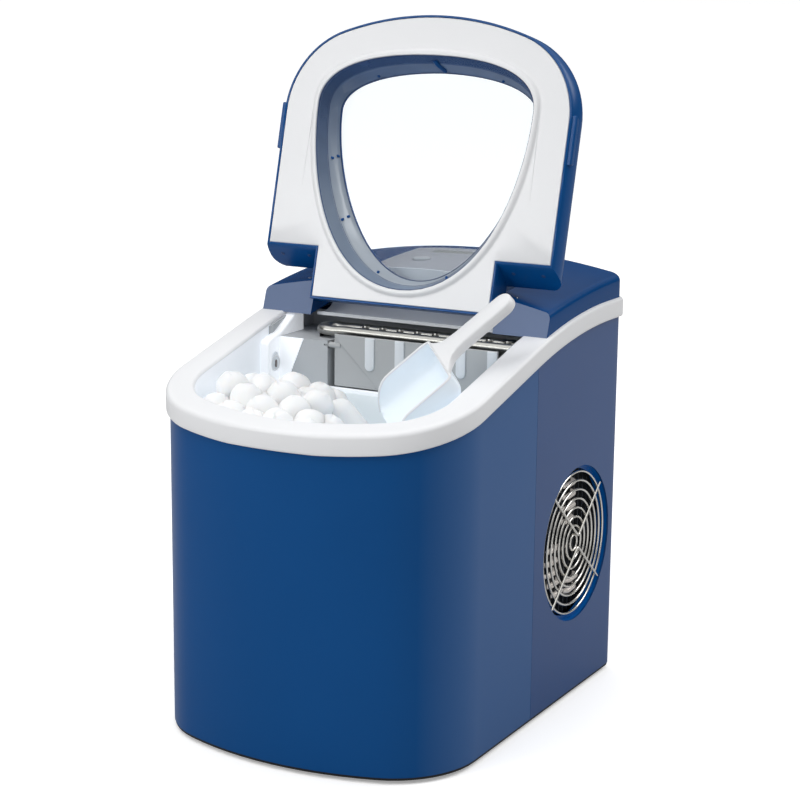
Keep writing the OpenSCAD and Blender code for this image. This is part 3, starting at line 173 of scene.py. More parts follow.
def mat(name, color, rough, metal=0.0, coat=0.0, spec=0.5, bump=0.04, bump_scale=700.0, vary=0.12,
        tone=0.03, tone_scale=9.0, sss=0.0, ior=1.45, sheen=0.0, painted_glow=0.0, stretch=(1, 1, 1), painted_reflection=None):
    """Moulded or painted finish: base colour, roughness and surface all vary a little over the piece.
    The last argument is the colour that it turns to towards the body's left and right sides: a painted
    reflection."""
    m = bpy.data.materials.new(name)
    m.use_nodes = True
    tree = m.node_tree
    link = tree.links.new
    shader = tree.nodes["Principled BSDF"]
    values = {"Metallic": metal, "Coat Weight": coat, "Coat Roughness": 0.08, "IOR": ior,
              "Specular IOR Level": spec, "Sheen Weight": sheen, "Sheen Roughness": 0.4}
    if sss:
        radius = (0.006, 0.007, 0.008)
        values.update({"Subsurface Weight": sss, "Subsurface Radius": radius, "Subsurface Scale": 1.0})
    # A glow in the piece's own colour, though it is no lamp: painted light.
    if painted_glow:
        values.update({"Emission Color": lin(color), "Emission Strength": painted_glow})
    for key, value in values.items():
        shader.inputs[key].default_value = value
    coord = add(tree, "TexCoord")
    mapping = add(tree, "Mapping", Scale=stretch)
    link(coord.outputs["Object"], mapping.inputs["Vector"])
    where = mapping.outputs["Vector"]

    dark, light = ((*(min(1.0, v * k) for v in lin(color)[:3]), 1) for k in (1 - tone, 1 + tone))
    shades = shades_between(tree, 0.3, 0.7, dark, light)
    link(noise(tree, where, tone_scale), shades.inputs["Fac"])
    base = shades.outputs["Color"]
    # Towards the left and right sides the base colour turns lighter: a painted reflection.
    if painted_reflection:
        xyz = add(tree, "SeparateXYZ")
        off = add(tree, "Math")
        off.operation = "ABSOLUTE"
        share = add(tree, "MapRange", From_Min=PAINTED_REFLECTION_FROM, From_Max=HW * MM)
        mix = add(tree, "MixRGB", Color2=lin(painted_reflection))
        link(coord.outputs["Object"], xyz.inputs[0])
        link(xyz.outputs["X"], off.inputs[0])
        link(off.outputs[0], share.inputs["Value"])
        link(share.outputs["Result"], mix.inputs["Fac"])
        link(base, mix.inputs["Color1"])
        base = mix.outputs["Color"]
    link(base, shader.inputs["Base Color"])

    spread = add(tree, "MapRange", To_Min=rough * (1 - vary), To_Max=rough * (1 + vary))
    link(noise(tree, where, 25.0), spread.inputs["Value"])
    link(spread.outputs["Result"], shader.inputs["Roughness"])
    grain = add(tree, "Bump", Strength=bump, Distance=0.0004)
    link(noise(tree, where, bump_scale, 3.0), grain.inputs["Height"])
    link(grain.outputs["Normal"], shader.inputs["Normal"])
    return m


def clear_mat(name, tint, opacity, gloss, rough=0.08, low=None):
    """Clear plastic: see-through with a milky share and a soft gloss.
    low is the lighter tint that the milky share has on the lower part of the open lid: painted light."""
    m = bpy.data.materials.new(name)
    m.use_nodes = True
    tree = m.node_tree
    link = tree.links.new
    tree.nodes.remove(tree.nodes["Principled BSDF"])
    through = add(tree, "BsdfTransparent", Color=lin((244, 248, 250)))
    milky = add(tree, "BsdfDiffuse", Color=lin(tint))
    coord = add(tree, "TexCoord")
    # The lower part of the open lid turns to the lighter tint: painted light.
    if low:
        height = add(tree, "SeparateXYZ")
        shades = shades_between(tree, 0.37, 0.47, lin(low), lin(tint))
        link(coord.outputs["Object"], height.inputs[0])
        link(height.outputs["Z"], shades.inputs["Fac"])
        link(shades.outputs["Color"], milky.inputs["Color"])
    milk = add(tree, "MapRange", To_Min=opacity * 0.8, To_Max=min(1.0, opacity * 1.2))
    link(noise(tree, coord.outputs["Object"], 40.0), milk.inputs["Value"])
    body = add(tree, "MixShader")
    link(milk.outputs["Result"], body.inputs["Fac"])
    link(through.outputs[0], body.inputs[1])
    link(milky.outputs[0], body.inputs[2])
    fresnel = add(tree, "Fresnel", IOR=1.45)
    share = add(tree, "Math")
    share.operation = "MULTIPLY"
    share.inputs[1].default_value = gloss
    glossy = add(tree, "BsdfGlossy", Roughness=rough)
    skin = add(tree, "MixShader")
    link(fresnel.outputs[0], share.inputs[0])
    link(share.outputs[0], skin.inputs["Fac"])
    link(body.outputs[0], skin.inputs[1])
    link(glossy.outputs[0], skin.inputs[2])
    link(skin.outputs[0], tree.nodes["Material Output"].inputs["Surface"])
    return m


# The wrap's blue turns lighter towards its sides: a painted reflection.
PAINT = mat("painted_steel", (13, 76, 137), rough=0.3, spec=0.12, sheen=0.06, bump=0.01, painted_reflection=(58, 96, 148))
PAINT_SIDE = mat("painted_side", (12, 68, 128), rough=0.3, spec=0.6, bump=0.01, vary=0.05)
COVER = mat("blue_plastic", (2, 66, 124), rough=0.25, spec=0.1)
# A lighter copy of the cover's blue for its front faces: a painted reflection.
COVER_FRONT_PAINTED_REFLECTION = mat("blue_front_painted_reflection", (96, 114, 148), rough=0.35, spec=0.25)
# The collar's blue glows a little: painted light.
COLLAR_PAINTED_GLOW = mat("collar_paint", (2, 84, 156), rough=0.3, spec=0.3, painted_glow=0.12)
LID_BLUE = mat("lid_blue", (4, 74, 136), rough=0.3, spec=0.3)
WHITE = mat("white_plastic", (238, 239, 241), rough=0.3, spec=0.4, tone=0.01)
LINER = mat("liner_plastic", (226, 231, 236), rough=0.33, tone=0.02)
# A darker copy of the liner's plastic for the inner tank: painted shade.
LINER_PAINTED_SHADE = mat("liner_painted_shade", (182, 186, 190), rough=0.45, tone=0.03)
# Both clear plastics turn lighter on the lower part of the open lid: painted light.
CLEAR = clear_mat("clear_plastic", (130, 156, 196), 0.6, 0.12, 0.3, (196, 206, 216))
CLEAR_BAND = clear_mat("clear_band", (96, 126, 178), 0.5, 0.12, 0.3, (168, 184, 204))
PANE = clear_mat("clear_pane", (235, 240, 245), 0.02, 0.25)
SEAL = mat("seal_blue", (30, 60, 110), rough=0.4)
GREY = mat("panel_grey", (158, 161, 171), rough=0.42)
LENS_GREY = mat("smoked_lens", (186, 190, 192), rough=0.14, coat=0.5)
SENSOR = mat("sensor_lens", (116, 108, 106), rough=0.3)
BUTTON = mat("button_grey", (186, 190, 196), rough=0.3)
BOARD = mat("board_green", (24, 78, 48), rough=0.5, tone=0.15, tone_scale=120)
BLACK = mat("black_plastic", (22, 22, 24), rough=0.5, bump=0.2)
RUBBER = mat("rubber", (20, 20, 20), rough=0.75, bump=0.25)
# The basket's plastic glows a little: painted light.
BASKET_PAINTED_GLOW = mat("basket_plastic", (232, 239, 243), rough=0.28, sss=0.1, painted_glow=0.16)
ICE = mat("ice", (243, 244, 245), rough=0.4, sss=0.5, bump=0.5, bump_scale=70, ior=1.31, spec=0.3)
# The scoop's plastic glows a little: painted light on the bowl's inside.
SCOOP_PAINTED_GLOW = mat("scoop_plastic", (228, 237, 245), rough=0.3, sss=0.15, painted_glow=0.14)
# The basin's facings and ledge glow: painted light in the shaded basin.
FACING_PAINTED_GLOW = mat("basin_facing", (228, 232, 237), rough=0.4, tone=0.02, painted_glow=0.3)
# The bar and the boss's skin glow brightly: painted light where the rim shades them.
BAR_PAINTED_GLOW = mat("basin_bar", (240, 243, 247), rough=0.33, tone=0.01, painted_glow=0.32)
TUBES = mat("freezing_tubes", (158, 158, 154), rough=0.3, metal=1.0, stretch=(1, 1, 12))
FLAP = mat("flap_plastic", (178, 181, 183), rough=0.45, tone=0.05)
STEEL = mat("steel", (196, 198, 200), rough=0.24, metal=1.0, stretch=(1, 1, 12))
CHROME = mat("plated_wire", (238, 236, 230), rough=0.16, metal=1.0)
# The condenser's bends glow: painted glints.
BEND_PAINTED_GLINT = mat("bare_tube", (214, 208, 202), rough=0.35, metal=0.6, painted_glow=0.25)
FINS = mat("fins", (92, 95, 99), rough=0.45, metal=0.8, tone=0.1, tone_scale=60)
COPPER = mat("copper", (186, 116, 78), rough=0.3, metal=1.0, tone=0.1)
ENAMEL = mat("black_enamel", (14, 14, 15), rough=0.25, coat=0.6)
FOAM = mat("foam", (236, 236, 224), rough=0.85, bump=0.6, bump_scale=300)
HOSE = mat("hose", (208, 216, 220), rough=0.25, sss=0.2)

SLOT_MAT = {
    "painted_steel": PAINT_SIDE, "blue_plastic": COVER, "lid_blue": LID_BLUE, "white_plastic": WHITE,
    "liner_plastic": LINER, "clear_plastic": CLEAR, "panel_grey": GREY, "smoked_lens": LENS_GREY,
    "button_grey": BUTTON, "board_green": BOARD, "black_plastic": BLACK, "rubber": RUBBER,
    "basket_plastic": BASKET_PAINTED_GLOW, "ice": ICE, "scoop_plastic": SCOOP_PAINTED_GLOW, "steel": STEEL, "plated_wire": CHROME,
    "fins": FINS, "copper": COPPER, "black_enamel": ENAMEL, "foam": FOAM, "hose": HOSE,
}
# The inner tank takes the darker copy of the liner: painted shade.
NODE_MAT = {"inner_tank": LINER_PAINTED_SHADE, "evaporator_cover": LINER, "sensor_windows": LINER}
NODE_SLOT = {s["node"]: s["material_slot"] for s in frame["record"]["subparts"]}
for node, obj in frame["nodes"].items():
    obj.data.materials.clear()
    obj.data.materials.append(NODE_MAT.get(node, SLOT_MAT[NODE_SLOT[node]]))


# ---------------------------------------------------------------- mesh helpers, in millimetres
def new_object(name, bm):
    me = bpy.data.meshes.new(name)
    bmesh.ops.recalc_face_normals(bm, faces=bm.faces)
    bm.to_mesh(me)
    bm.free()
    me.transform(Matrix.Scale(MM, 4))
    o = bpy.data.objects.new(name, me)
    bpy.context.collection.objects.link(o)
    return o


def smooth_faces(me, angle):
    """Smooth shading, apart from edges that bend by more than angle degrees."""
    for p in me.polygons:
        p.use_smooth = True
    me.set_sharp_from_angle(angle=math.radians(angle))


def bevel_edges(o, width, segments, angle=35):
    b = o.modifiers.new("edge", "BEVEL")
    b.width = width * MM
    b.segments = segments
    b.limit_method = "ANGLE"
    b.angle_limit = math.radians(angle)


def finish_mesh(name, bm, material, body, node=None, bevel=0.0, segments=2, smooth=40.0):
    """Makes the piece in bm, which rides on body. Where it stands for a CAD node, that node's part is hidden.
    """
    o = new_object(name, bm)
    o.data.materials.append(material)
    smooth_faces(o.data, smooth)
    if bevel:
        bevel_edges(o, bevel, segments)
    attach(o, body)
    if node:
        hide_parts(node)
    return o


def cut_with(target, bm):
    """Cuts the closed form in bm out of target."""
    cutter = new_object("cutter", bm)
    m = target.modifiers.new("cut", "BOOLEAN")
    m.object, m.operation, m.solver = cutter, "DIFFERENCE", "EXACT"
    graph = bpy.context.evaluated_depsgraph_get()
    me = bpy.data.meshes.new_from_object(target.evaluated_get(graph))
    target.modifiers.clear()
    target.data = me
    bpy.data.objects.remove(cutter)
    smooth_faces(me, 35)


def arc(x, y, r, start, end, n):
    """n + 1 points round (x, y), from one angle to another in degrees."""
    return [(x + r * math.cos(t), y + r * math.sin(t)) for t in np.radians(np.linspace(start, end, n + 1))]


def circle(r, n):
    return arc(0, 0, r, 0, 360, n)[:-1]


def loft(bm, rings, closed=True, caps=(False, False)):
    """Quads between rings of equal length; each ring is a list of points."""
    rows = [[bm.verts.new(tuple(map(float, p))) for p in ring] for ring in rings]
    n = len(rows[0])
    for a, b in zip(rows, rows[1:]):
        for i in range(n if closed else n - 1):
            j = (i + 1) % n
            quad = [a[i], a[j], b[j], b[i]]
            if len({v.co.to_tuple(5) for v in quad}) > 2:
                bm.faces.new(quad)
    for cap, row in zip(caps, (rows[0], rows[-1])):
        if cap:
            bm.faces.new(row)
    return rows


def prism(bm, outline, axis, ends):
    """Draws an outline out along axis 0, 1 or 2 between two ends. Its points hold the other coordinates."""
    loft(bm, [[(*p[:axis], end, *p[axis:]) for p in outline] for end in ends], True, (True, True))


def box(bm, x0, x1, y0, y1, z0, z1):
    prism(bm, [(x0, y0), (x1, y0), (x1, y1), (x0, y1)], 2, (z0, z1))


def cyl(bm, p0, p1, r0, r1=None, n=32):
    """A cylinder, or a cone where r1 is given."""
    p0, p1 = Vector(p0), Vector(p1)
    turn = (p1 - p0).to_track_quat("Z", "Y")
    ends = ((p0, r0), (p1, r0 if r1 is None else r1))
    loft(bm, [[p + turn @ Vector((*c, 0)) for c in circle(r, n)] for p, r in ends], True, (True, True))


def lathe(bm, profile, place, n):
    """Turns (radius, height) points round Z, then moves them with the matrix place."""
    return loft(bm, [[place @ Vector((*c, h)) for c in circle(r, n)] for r, h in profile])


def smooth_path(pts, bend, steps=6):
    """Rounds the corners of a polyline."""
    pts = [np.array(p, float) for p in pts]
    out = [pts[0]]
    for a, b, c in zip(pts, pts[1:], pts[2:]):
        u, v = a - b, c - b
        d = min(bend, 0.45 * np.linalg.norm(u), 0.45 * np.linalg.norm(v))
        p, q = b + u / np.linalg.norm(u) * d, b + v / np.linalg.norm(v) * d
        for t in np.linspace(0, 1, steps + 1):
            out.append((1 - t) ** 2 * p + 2 * t * (1 - t) * b + t * t * q)
    out.append(pts[-1])
    return out


def tube(bm, pts, r, n, closed=False):
    """A round tube along pts."""
    pts = [np.array(p, float) for p in pts]
    last = len(pts) - 1
    rings = []
    side = None
    for i, p in enumerate(pts):
        before = pts[i - 1] if closed or i > 0 else p
        after = pts[(i + 1) % len(pts)] if closed or i < last else p
        along = (after - before) / np.linalg.norm(after - before)
        if side is None:
            side = np.cross(along, [0, 0, 1.0])
            if np.linalg.norm(side) < 0.1:
                side = np.cross(along, [0, 1.0, 0])
        side = side - along * (side @ along)
        side /= np.linalg.norm(side)
        other = np.cross(along, side)
        rings.append([p + u * side + v * other for u, v in circle(r, n)])
    if closed:
        loft(bm, rings + rings[:1])
        bmesh.ops.remove_doubles(bm, verts=bm.verts, dist=0.001)
    else:
        loft(bm, rings, True, (True, True))


# ---------------------------------------------------------------- shared forms, as in the CAD
def plan(half, front, bow, corner, end, closed=False, k=14, sides=26):
    """Plan outline from the left side at y = end round the bowed front to the right side.
    A closed outline has its rear at y = end. Returns the points and their outward normals."""
    cx = half - corner
    cy = front + bow - math.sqrt((bow - corner) ** 2 - cx * cx)
    turn = math.degrees(math.atan2(cy - front - bow, cx))
    top = end - REAR_R if closed else end
    P = [(-half, top + (cy - top) * i / sides) for i in range(sides)]
    N = [(-1, 0)] * sides

    def add_arc(x, y, r, start, stop, n, first=1, last=None):
        P.extend(arc(x, y, r, start, stop, n)[first:last])
        N.extend(arc(0, 0, 1, start, stop, n)[first:last])

    add_arc(-cx, cy, corner, -180, -180 - turn, k, 0)
    add_arc(0, front + bow, bow, -180 - turn, turn, 2 * k)
    add_arc(cx, cy, corner, turn, 0, k)
    P += [(half, cy + (top - cy) * i / sides) for i in range(1, sides + 1)]
    N += [(1, 0)] * sides
    if closed:
        inner, n, rear_steps = half - REAR_R, 8, 12
        add_arc(inner, top, REAR_R, 0, 90, n)
        P += [(inner - 2 * inner * i / rear_steps, end) for i in range(1, rear_steps)]
        N += [(0, 1)] * (rear_steps - 1)
        add_arc(-inner, top, REAR_R, 90, 180, n, 0, -1)
    return np.array(P), np.array(N)


ARC_START, ARC_END = YF + SLOPE_RUN, YR - FLAT_RUN
ARC_R = (ARC_END - ARC_START) / math.sin(SLOPE)
EDGE_TOP = FRONT_H + SLOPE_RUN * math.tan(SLOPE) + ARC_R * (1 - math.cos(SLOPE))


def edge_z(y):
    """Height of the trim's lower edge: a straight slope, an arc and a level stretch."""
    if y < ARC_START:
        return FRONT_H + (y - YF) * math.tan(SLOPE)
    if y < ARC_END:
        return EDGE_TOP - ARC_R + math.sqrt(ARC_R ** 2 - (ARC_END - y) ** 2)
    return EDGE_TOP


def crown_z(x, y):
    """Height of the cover's crowned top."""
    return EDGE_TOP + CROWN_H - (YR + CROWN_BACK - y) ** 2 / (2 * CROWN_LEN_R) - x * x / (2 * CROWN_R)


# The lid's own frame has X to the left, b from the tongue to the front edge and n out from the inner face
HINGE_Y = SHOULDER_Y + HINGE_BACK
HINGE_Z = FRONT_H + (HINGE_Y - YF) * math.tan(SLOPE) + TRIM_H + LID_GAP + HINGE_N / math.cos(SLOPE)
TROUGH_R = math.hypot(HINGE_B, HINGE_N) + LID_GAP
TROUGH_REAR = HINGE_Y + TROUGH_R + COVER_T
LID_M = (Matrix.Translation((0, HINGE_Y, HINGE_Z)) @ Matrix.Rotation(SLOPE - LID_OPEN, 4, "X")
         @ Matrix.Rotation(math.pi, 4, "Z") @ Matrix.Translation((0, -HINGE_B, -HINGE_N)))


def lid_pt(x, b, n):
    """Place of a point of the lid's frame with the lid open."""
    return LID_M @ Vector((x, b, n))


def closed_lid(b, n):
    """Place of a point of the lid's frame when the lid is closed."""
    c, s = math.cos(SLOPE), math.sin(SLOPE)
    b, n = b - HINGE_B, n - HINGE_N
    return Vector((0, HINGE_Y - b * c - n * s, HINGE_Z - b * s + n * c))


# ---------------------------------------------------------------- cabinet panels
def sheet(bm, plan_points):
    """A bent sheet under the trim: plan_points holds pairs of a point and its outward normal."""
    rings = []
    for depth, top in ((0, False), (0, True), (SHEET_T, True), (SHEET_T, False), (0, False)):
        rings.append([(x - nx * depth, y - ny * depth, edge_z(y) if top else SHEET_Z)
                      for (x, y), (nx, ny) in plan_points])
    loft(bm, rings, False)
    bmesh.ops.remove_doubles(bm, verts=bm.verts, dist=0.001)
    bmesh.ops.holes_fill(bm, edges=[e for e in bm.edges if e.is_boundary], sides=4)


def side_points():
    """Plan points of the right panel: the flat side from its seam, the rear corner and the return behind."""
    inner = HW - REAR_R
    pts = [((HW, y), (1, 0)) for y in np.linspace(SEAM_Y + GAP / 2, YR - REAR_R, 26)]
    pts += zip(arc(inner, YR - REAR_R, REAR_R, 0, 90, 9)[1:], arc(0, 0, 1, 0, 90, 9)[1:])
    return pts + [((HW - 14, YR), (0, 1))]


bm = bmesh.new()
sheet(bm, list(zip(*plan(HW, YF, FRONT_R, CORNER_R, SEAM_Y - GAP / 2))))
finish_mesh("wrap", bm, PAINT, "cabinet", "front_wrap")

bm = bmesh.new()
sheet(bm, side_points())
right_side = finish_mesh("right_side", bm, PAINT_SIDE, "cabinet", "right_panel")
bm = bmesh.new()
cyl(bm, (100, FAN_Y, FAN_Z), (130, FAN_Y, FAN_Z), FAN_R, n=96)
cut_with(right_side, bm)

# The collar's section, as radius and X: its lip round the hole and the step inside
bm = bmesh.new()
lathe(bm, [(61.0, 119.6), (60.6, 120.7), (60.0, 120.3), (60.0, 115.6), (57.0, 115.4), (57.0, 114.0),
           (60.0, 113.8), (60.0, 111.0), (61.5, 111.0), (61.5, 119.5), (61.0, 119.6)],
      Matrix.Translation((0, FAN_Y, FAN_Z)) @ Matrix.Rotation(math.pi / 2, 4, "Y"), 96)
finish_mesh("fan_collar", bm, COLLAR_PAINTED_GLOW, "cabinet")

# ---------------------------------------------------------------- trim and deck
# Band: its section as (offset from the panels, height above the trim's lower edge), with a rounded top
bm = bmesh.new()
section = [(-4.8, -7), (-1.8, -7), (-1.8, -0.6), (1.6, -0.6), (2.5, -0.4), (2.9, 0.2), (TRIM_PROUD, 1.0)]
section += arc(0, TRIM_H - TRIM_PROUD, TRIM_PROUD, 0, 90, 6)
section += [(-5.0, TRIM_H), (-5.0, -7), (-4.8, -7)]
P, N = plan(HW, YF, FRONT_R, CORNER_R, YR, closed=True)
loft(bm, [[(x, y, edge_z(min(max(y, YF), YR)) + h) for x, y in P + N * out] for out, h in section])

# Deck: from the band over a rounded edge down the basin's wall and back under itself
deck_end = SHOULDER_Y + 4
outer, out_normal = plan(HW, YF, FRONT_R, CORNER_R, deck_end)
basin, basin_normal = plan(LINER_HW, YF + RIM_FRONT, BASIN_R, BASIN_CORNER_R, deck_end)
inside_band, behind_wall = outer - out_normal * 4.9, basin + basin_normal * 2.5
path = [(inside_band, TRIM_H)]
path += [(basin + basin_normal * (EDGE_R - c), TRIM_H - EDGE_R + s) for c, s in arc(0, 0, EDGE_R, 90, 0, 6)]
path += [(basin, 3.0), (behind_wall, 3.0), (behind_wall, TRIM_H - DECK_T), (inside_band, TRIM_H - DECK_T)]
loft(bm, [[(x, y, edge_z(y) + h) for x, y in points] for points, h in path], False)
finish_mesh("trim", bm, WHITE, "cabinet", "top_trim", smooth=50)


# ---------------------------------------------------------------- rear cover
def cover_section(y, half):
    """Section across the cover at y: sides sunk into the trim, round fillets and the crowned top."""
    inner, n = half - COVER_FILLET, 24
    foot_z, top = edge_z(y) + TRIM_H - 0.6, crown_z(inner, y) - COVER_FILLET
    middle = (foot_z + top) / 2
    pts = [(half, foot_z), (half, middle)] + arc(inner, top, COVER_FILLET, 0, 90, 8)
    pts += [(x, crown_z(x, y)) for x in np.linspace(inner, -inner, n + 1)[1:-1]]
    pts += arc(-inner, top, COVER_FILLET, 90, 180, 8) + [(-half, middle), (-half, foot_z)]
    return [(x, y, z) for x, z in pts]


# The cover narrows round the rear corners, and its front faces lean as the closed lid's rear faces do
bm = bmesh.new()
stations = [(y, HW) for y in np.linspace(10, YR - REAR_R, 41)]
stations += [(YR - REAR_R + s, HW - REAR_R + c) for c, s in arc(0, 0, REAR_R, 0, 90, 8)[1:]]
loft(bm, [cover_section(y, half) for y, half in stations], True, (True, True))
foot = closed_lid(TONGUE, 0)
along = (closed_lid(TONGUE - LEAN, LEAN_H) - foot).normalized()
cut = bmesh.ops.bisect_plane(bm, geom=bm.verts[:] + bm.edges[:] + bm.faces[:], clear_inner=True,
                             plane_co=foot + Vector((0, LID_GAP, 0)), plane_no=Vector((0, along.z, -along.y)))
bmesh.ops.contextual_create(bm, geom=[e for e in cut["geom_cut"] if isinstance(e, bmesh.types.BMEdge)])
cover = finish_mesh("cover", bm, COVER, "cabinet", "top_cover")
# Faces that look to the front take the lighter copy of the blue: a painted reflection.
cover.data.materials.append(COVER_FRONT_PAINTED_REFLECTION)
for p in cover.data.polygons:
    p.material_index = int(p.normal.y < -0.5)

# Room for the lid's tongue, and the control panel's hole
CONTROL_Y = TROUGH_REAR + 0.3
bm = bmesh.new()
box(bm, -TONGUE_HW - LID_GAP, TONGUE_HW + LID_GAP, -20, TROUGH_REAR, 200, 400)
cut_with(cover, bm)
bm = bmesh.new()
box(bm, -CONTROL_HW - 0.3, CONTROL_HW + 0.3, CONTROL_Y + 0.2, CONTROL_Y + CONTROL_D + 0.3, 260, 400)
cut_with(cover, bm)
bevel_edges(cover, 1.0, 3, 50)

# ---------------------------------------------------------------- lid
LID_RISE = LID_MID_T - LID_SIDE_T
LID_CROWN_R = (HW ** 2 + LID_RISE ** 2) / (2 * LID_RISE)


def lid_top(x):
    """Height of the lid's crowned outer face above its inner face."""
    return LID_MID_T - LID_CROWN_R + math.sqrt(LID_CROWN_R ** 2 - x * x)


def lid_loop(inset=0.0, half=HW, back=0.0, n=0.0):
    """The lid's outline at height n, from the tongue's left corner round to its right one.
    half is the half width that the sides reach there, back the tongue's own inset."""
    P, _ = plan(HW - inset, inset - LID_LEN, FRONT_R - inset, CORNER_R - inset, 0, k=16, sides=1)
    k = half / (HW - inset)
    round_front = [(p[0] * k, -p[1]) for p in P[1:-1]]
    wing_b, tongue_x, front_b = TONGUE + back - n * LEAN / LEAN_H, TONGUE_HW - back, round_front[0][1]
    left = [(-tongue_x, back + (wing_b - back) * i / 5) for i in range(5)]
    left += [(-tongue_x + (tongue_x - half) * i / 6, wing_b) for i in range(6)]
    left += [(-half, wing_b + (front_b - wing_b) * i / 8) for i in range(8)]
    edge = [(tongue_x - 2 * tongue_x * i / 14, back) for i in range(1, 14)]
    return left + round_front + [(-x, b) for x, b in reversed(left)] + edge


def bezier(p, t):
    """Point of the cubic curve with the four control points p."""
    return (1 - t) ** 3 * p[0] + 3 * t * (1 - t) ** 2 * p[1] + 3 * t * t * (1 - t) * p[2] + t ** 3 * p[3]


def window_curve(top, widest, low, handles):
    """A window outline of two curves a side: from the top to the widest place, and on to the bottom."""
    upper = np.array([(0, top), *handles[:2], widest], float)
    lower = np.array([widest, *handles[2:], (0, low)], float)
    half = [bezier(upper, i / 60) for i in range(61)] + [bezier(lower, i / 90) for i in range(1, 91)]
    half = np.array(half)
    return np.vstack([half, (half[::-1] * np.array([-1, 1]))[1:-1]])


MIDDLE = np.array([0, 105.0])               # rings of the lid run round this point


def radius_by_angle(curve):
    """The curve's distance from MIDDLE as a function of the angle round it."""
    d = curve - MIDDLE
    angle = np.arctan2(d[:, 1], d[:, 0])
    r = np.hypot(d[:, 0], d[:, 1])
    order = np.argsort(angle)
    angle, r = angle[order], r[order]
    angle = np.concatenate([angle[-3:] - 2 * math.pi, angle, angle[:3] + 2 * math.pi])
    r = np.concatenate([r[-3:], r, r[:3]])
    return lambda t: np.interp(t, angle, r)


# The window's drawn wall runs from its lip to the pane in the lid's outer face
LIP_R = radius_by_angle(window_curve(WINDOW_TOP, (WINDOW_HW, WINDOW_WIDE), WINDOW_LOW, [
    (53.1, WINDOW_TOP), (WINDOW_HW, 177.8), (WINDOW_HW, 89.6), (64.4, WINDOW_LOW)]))
PANE_R = radius_by_angle(window_curve(181, (84, 150), 22, [(40, 180.5), (82, 172), (84, 100), (50, 22)]))
ANGLES = np.arctan2(*(np.array(lid_loop()) - MIDDLE).T[::-1])
FINE = np.linspace(-math.pi, math.pi, 240, endpoint=False)


def ring_at(r, n_of, angles=ANGLES):
    """A ring at the distances r round MIDDLE, at the height n_of(x)."""
    xy = MIDDLE + np.stack([np.cos(angles) * r, np.sin(angles) * r], 1)
    return [lid_pt(x, b, n_of(x)) for x, b in xy]


def shell_ring(n, inset, half, back):
    """The lid's outline at height n, kept just inside its outer face."""
    return [lid_pt(x, b, min(n, lid_top(x) - 0.3)) for x, b in lid_loop(inset, half, back, n)]


# Blue shell: its lower edge, its bulging side as (height, half width, front's inset, tongue's inset), its top
SIDE = [(0.6, 121.2, 0, 0), (4, 122.3, 0, 0), (8, 123.1, 0, 0), (12, 123.4, 0, 0), (15, 123.0, 0.4, 0),
        (17, 122.0, 1.2, 0), (19, 120.3, 2.6, 0), (21, 117.9, 4.6, 0.1), (22.6, 114.9, 7.2, 0.5),
        (23.6, 111.6, 10.3, 1.2), (24.2, 107.0, 14.0, 2.4)]
bm = bmesh.new()
rings = [shell_ring(n, i, HW - i, i) for n, i in ((1.2, 1.8), (0.25, 1.8), (0.0, 1.55), (0.0, 0.4))]
rings += [shell_ring(n, inset, half, back) for n, half, inset, back in SIDE]
n, half, inset, back = SIDE[-1]
top_edge = np.hypot(*(np.array(lid_loop(inset, half, back, n)) - MIDDLE).T)
for s in (0.25, 0.5, 0.75, 1.0):
    rings.append(ring_at(top_edge * (1 - s) + (PANE_R(ANGLES) - 0.5) * s, lambda x: lid_top(x) - 0.1))
for off in (-0.5, 2.5):
    rings.append(ring_at(PANE_R(ANGLES) + off, lambda x: lid_top(x) - 1.8))
loft(bm, rings)
finish_mesh("lid_body", bm, LID_BLUE, "lid", "lid_shell", smooth=45)

# Thumb tabs on the lid's sides
bm = bmesh.new()
for s in (-1, 1):
    rings = []
    for x, g in ((120.6, 0.0), (123.8, 0.0), (124.6, 0.8)):
        rings.append([lid_pt(s * x, b, n) for b, n in ((LID_LEN - 106 + g, 1 + g), (LID_LEN - 106 + g, 6 - g),
                                                       (LID_LEN - 72 - g, 6 - g), (LID_LEN - 70 - g, 1 + g))])
    loft(bm, rings, True, (True, True))
finish_mesh("lid_tabs", bm, LID_BLUE, "lid", bevel=0.5, smooth=30)

# Two screws in the leaning end of each wing: their axis is square to it, and across runs up it
bm = bmesh.new()
axis = Vector((0, -LEAN_H, -LEAN)).normalized()
across = Vector((0, -LEAN, LEAN_H)).normalized()
n = 9.0
for s in (-1, 1):
    for x in (87.0, 111.0):
        at = Vector((s * x, TONGUE - n * LEAN / LEAN_H, n))
        rings = [[LID_M @ (at + axis * out + Vector((u, 0, 0)) + v * across) for u, v in circle(r, 24)]
                 for r, out in ((1.7, -0.3), (1.7, 0.1), (1.3, 0.3), (0.5, 0.3), (0.4, 0.05))]
        loft(bm, rings, True, (True, True))
finish_mesh("wing_screws", bm, SEAL, "lid")

# White inner panel: its edge, and the rounded lip round the window as (offset from the lip, height)
bm = bmesh.new()
rings = [shell_ring(n, i, HW - i, i) for n, i in ((1.8, 2.05), (0.35, 2.05), (0.0, 2.4))]
for off, n in ((9.0, 0.0), (7.0, 0.05), (5.6, 0.25), (4.8, 0.0), (4.2, -0.9), (3.4, -1.7), (2.4, -2.0),
               (1.0, -2.0), (0.25, -1.8), (0.0, -1.3), (0.0, 1.8)):
    rings.append(ring_at(LIP_R(ANGLES) + off, lambda x, n=n: n))
loft(bm, rings)
finish_mesh("lid_plate", bm, WHITE, "lid", "lid_inner_panel", smooth=40)


def well_ring(share, depth, off=0.0):
    """A ring on the window's drawn wall, at a share of the way from the lip to the pane and of the depth."""
    r = LIP_R(FINE) * (1 - share) + PANE_R(FINE) * share - 0.3 + off
    return ring_at(r, lambda x: -1.0 + (lid_top(x) - 0.9) * depth, FINE)


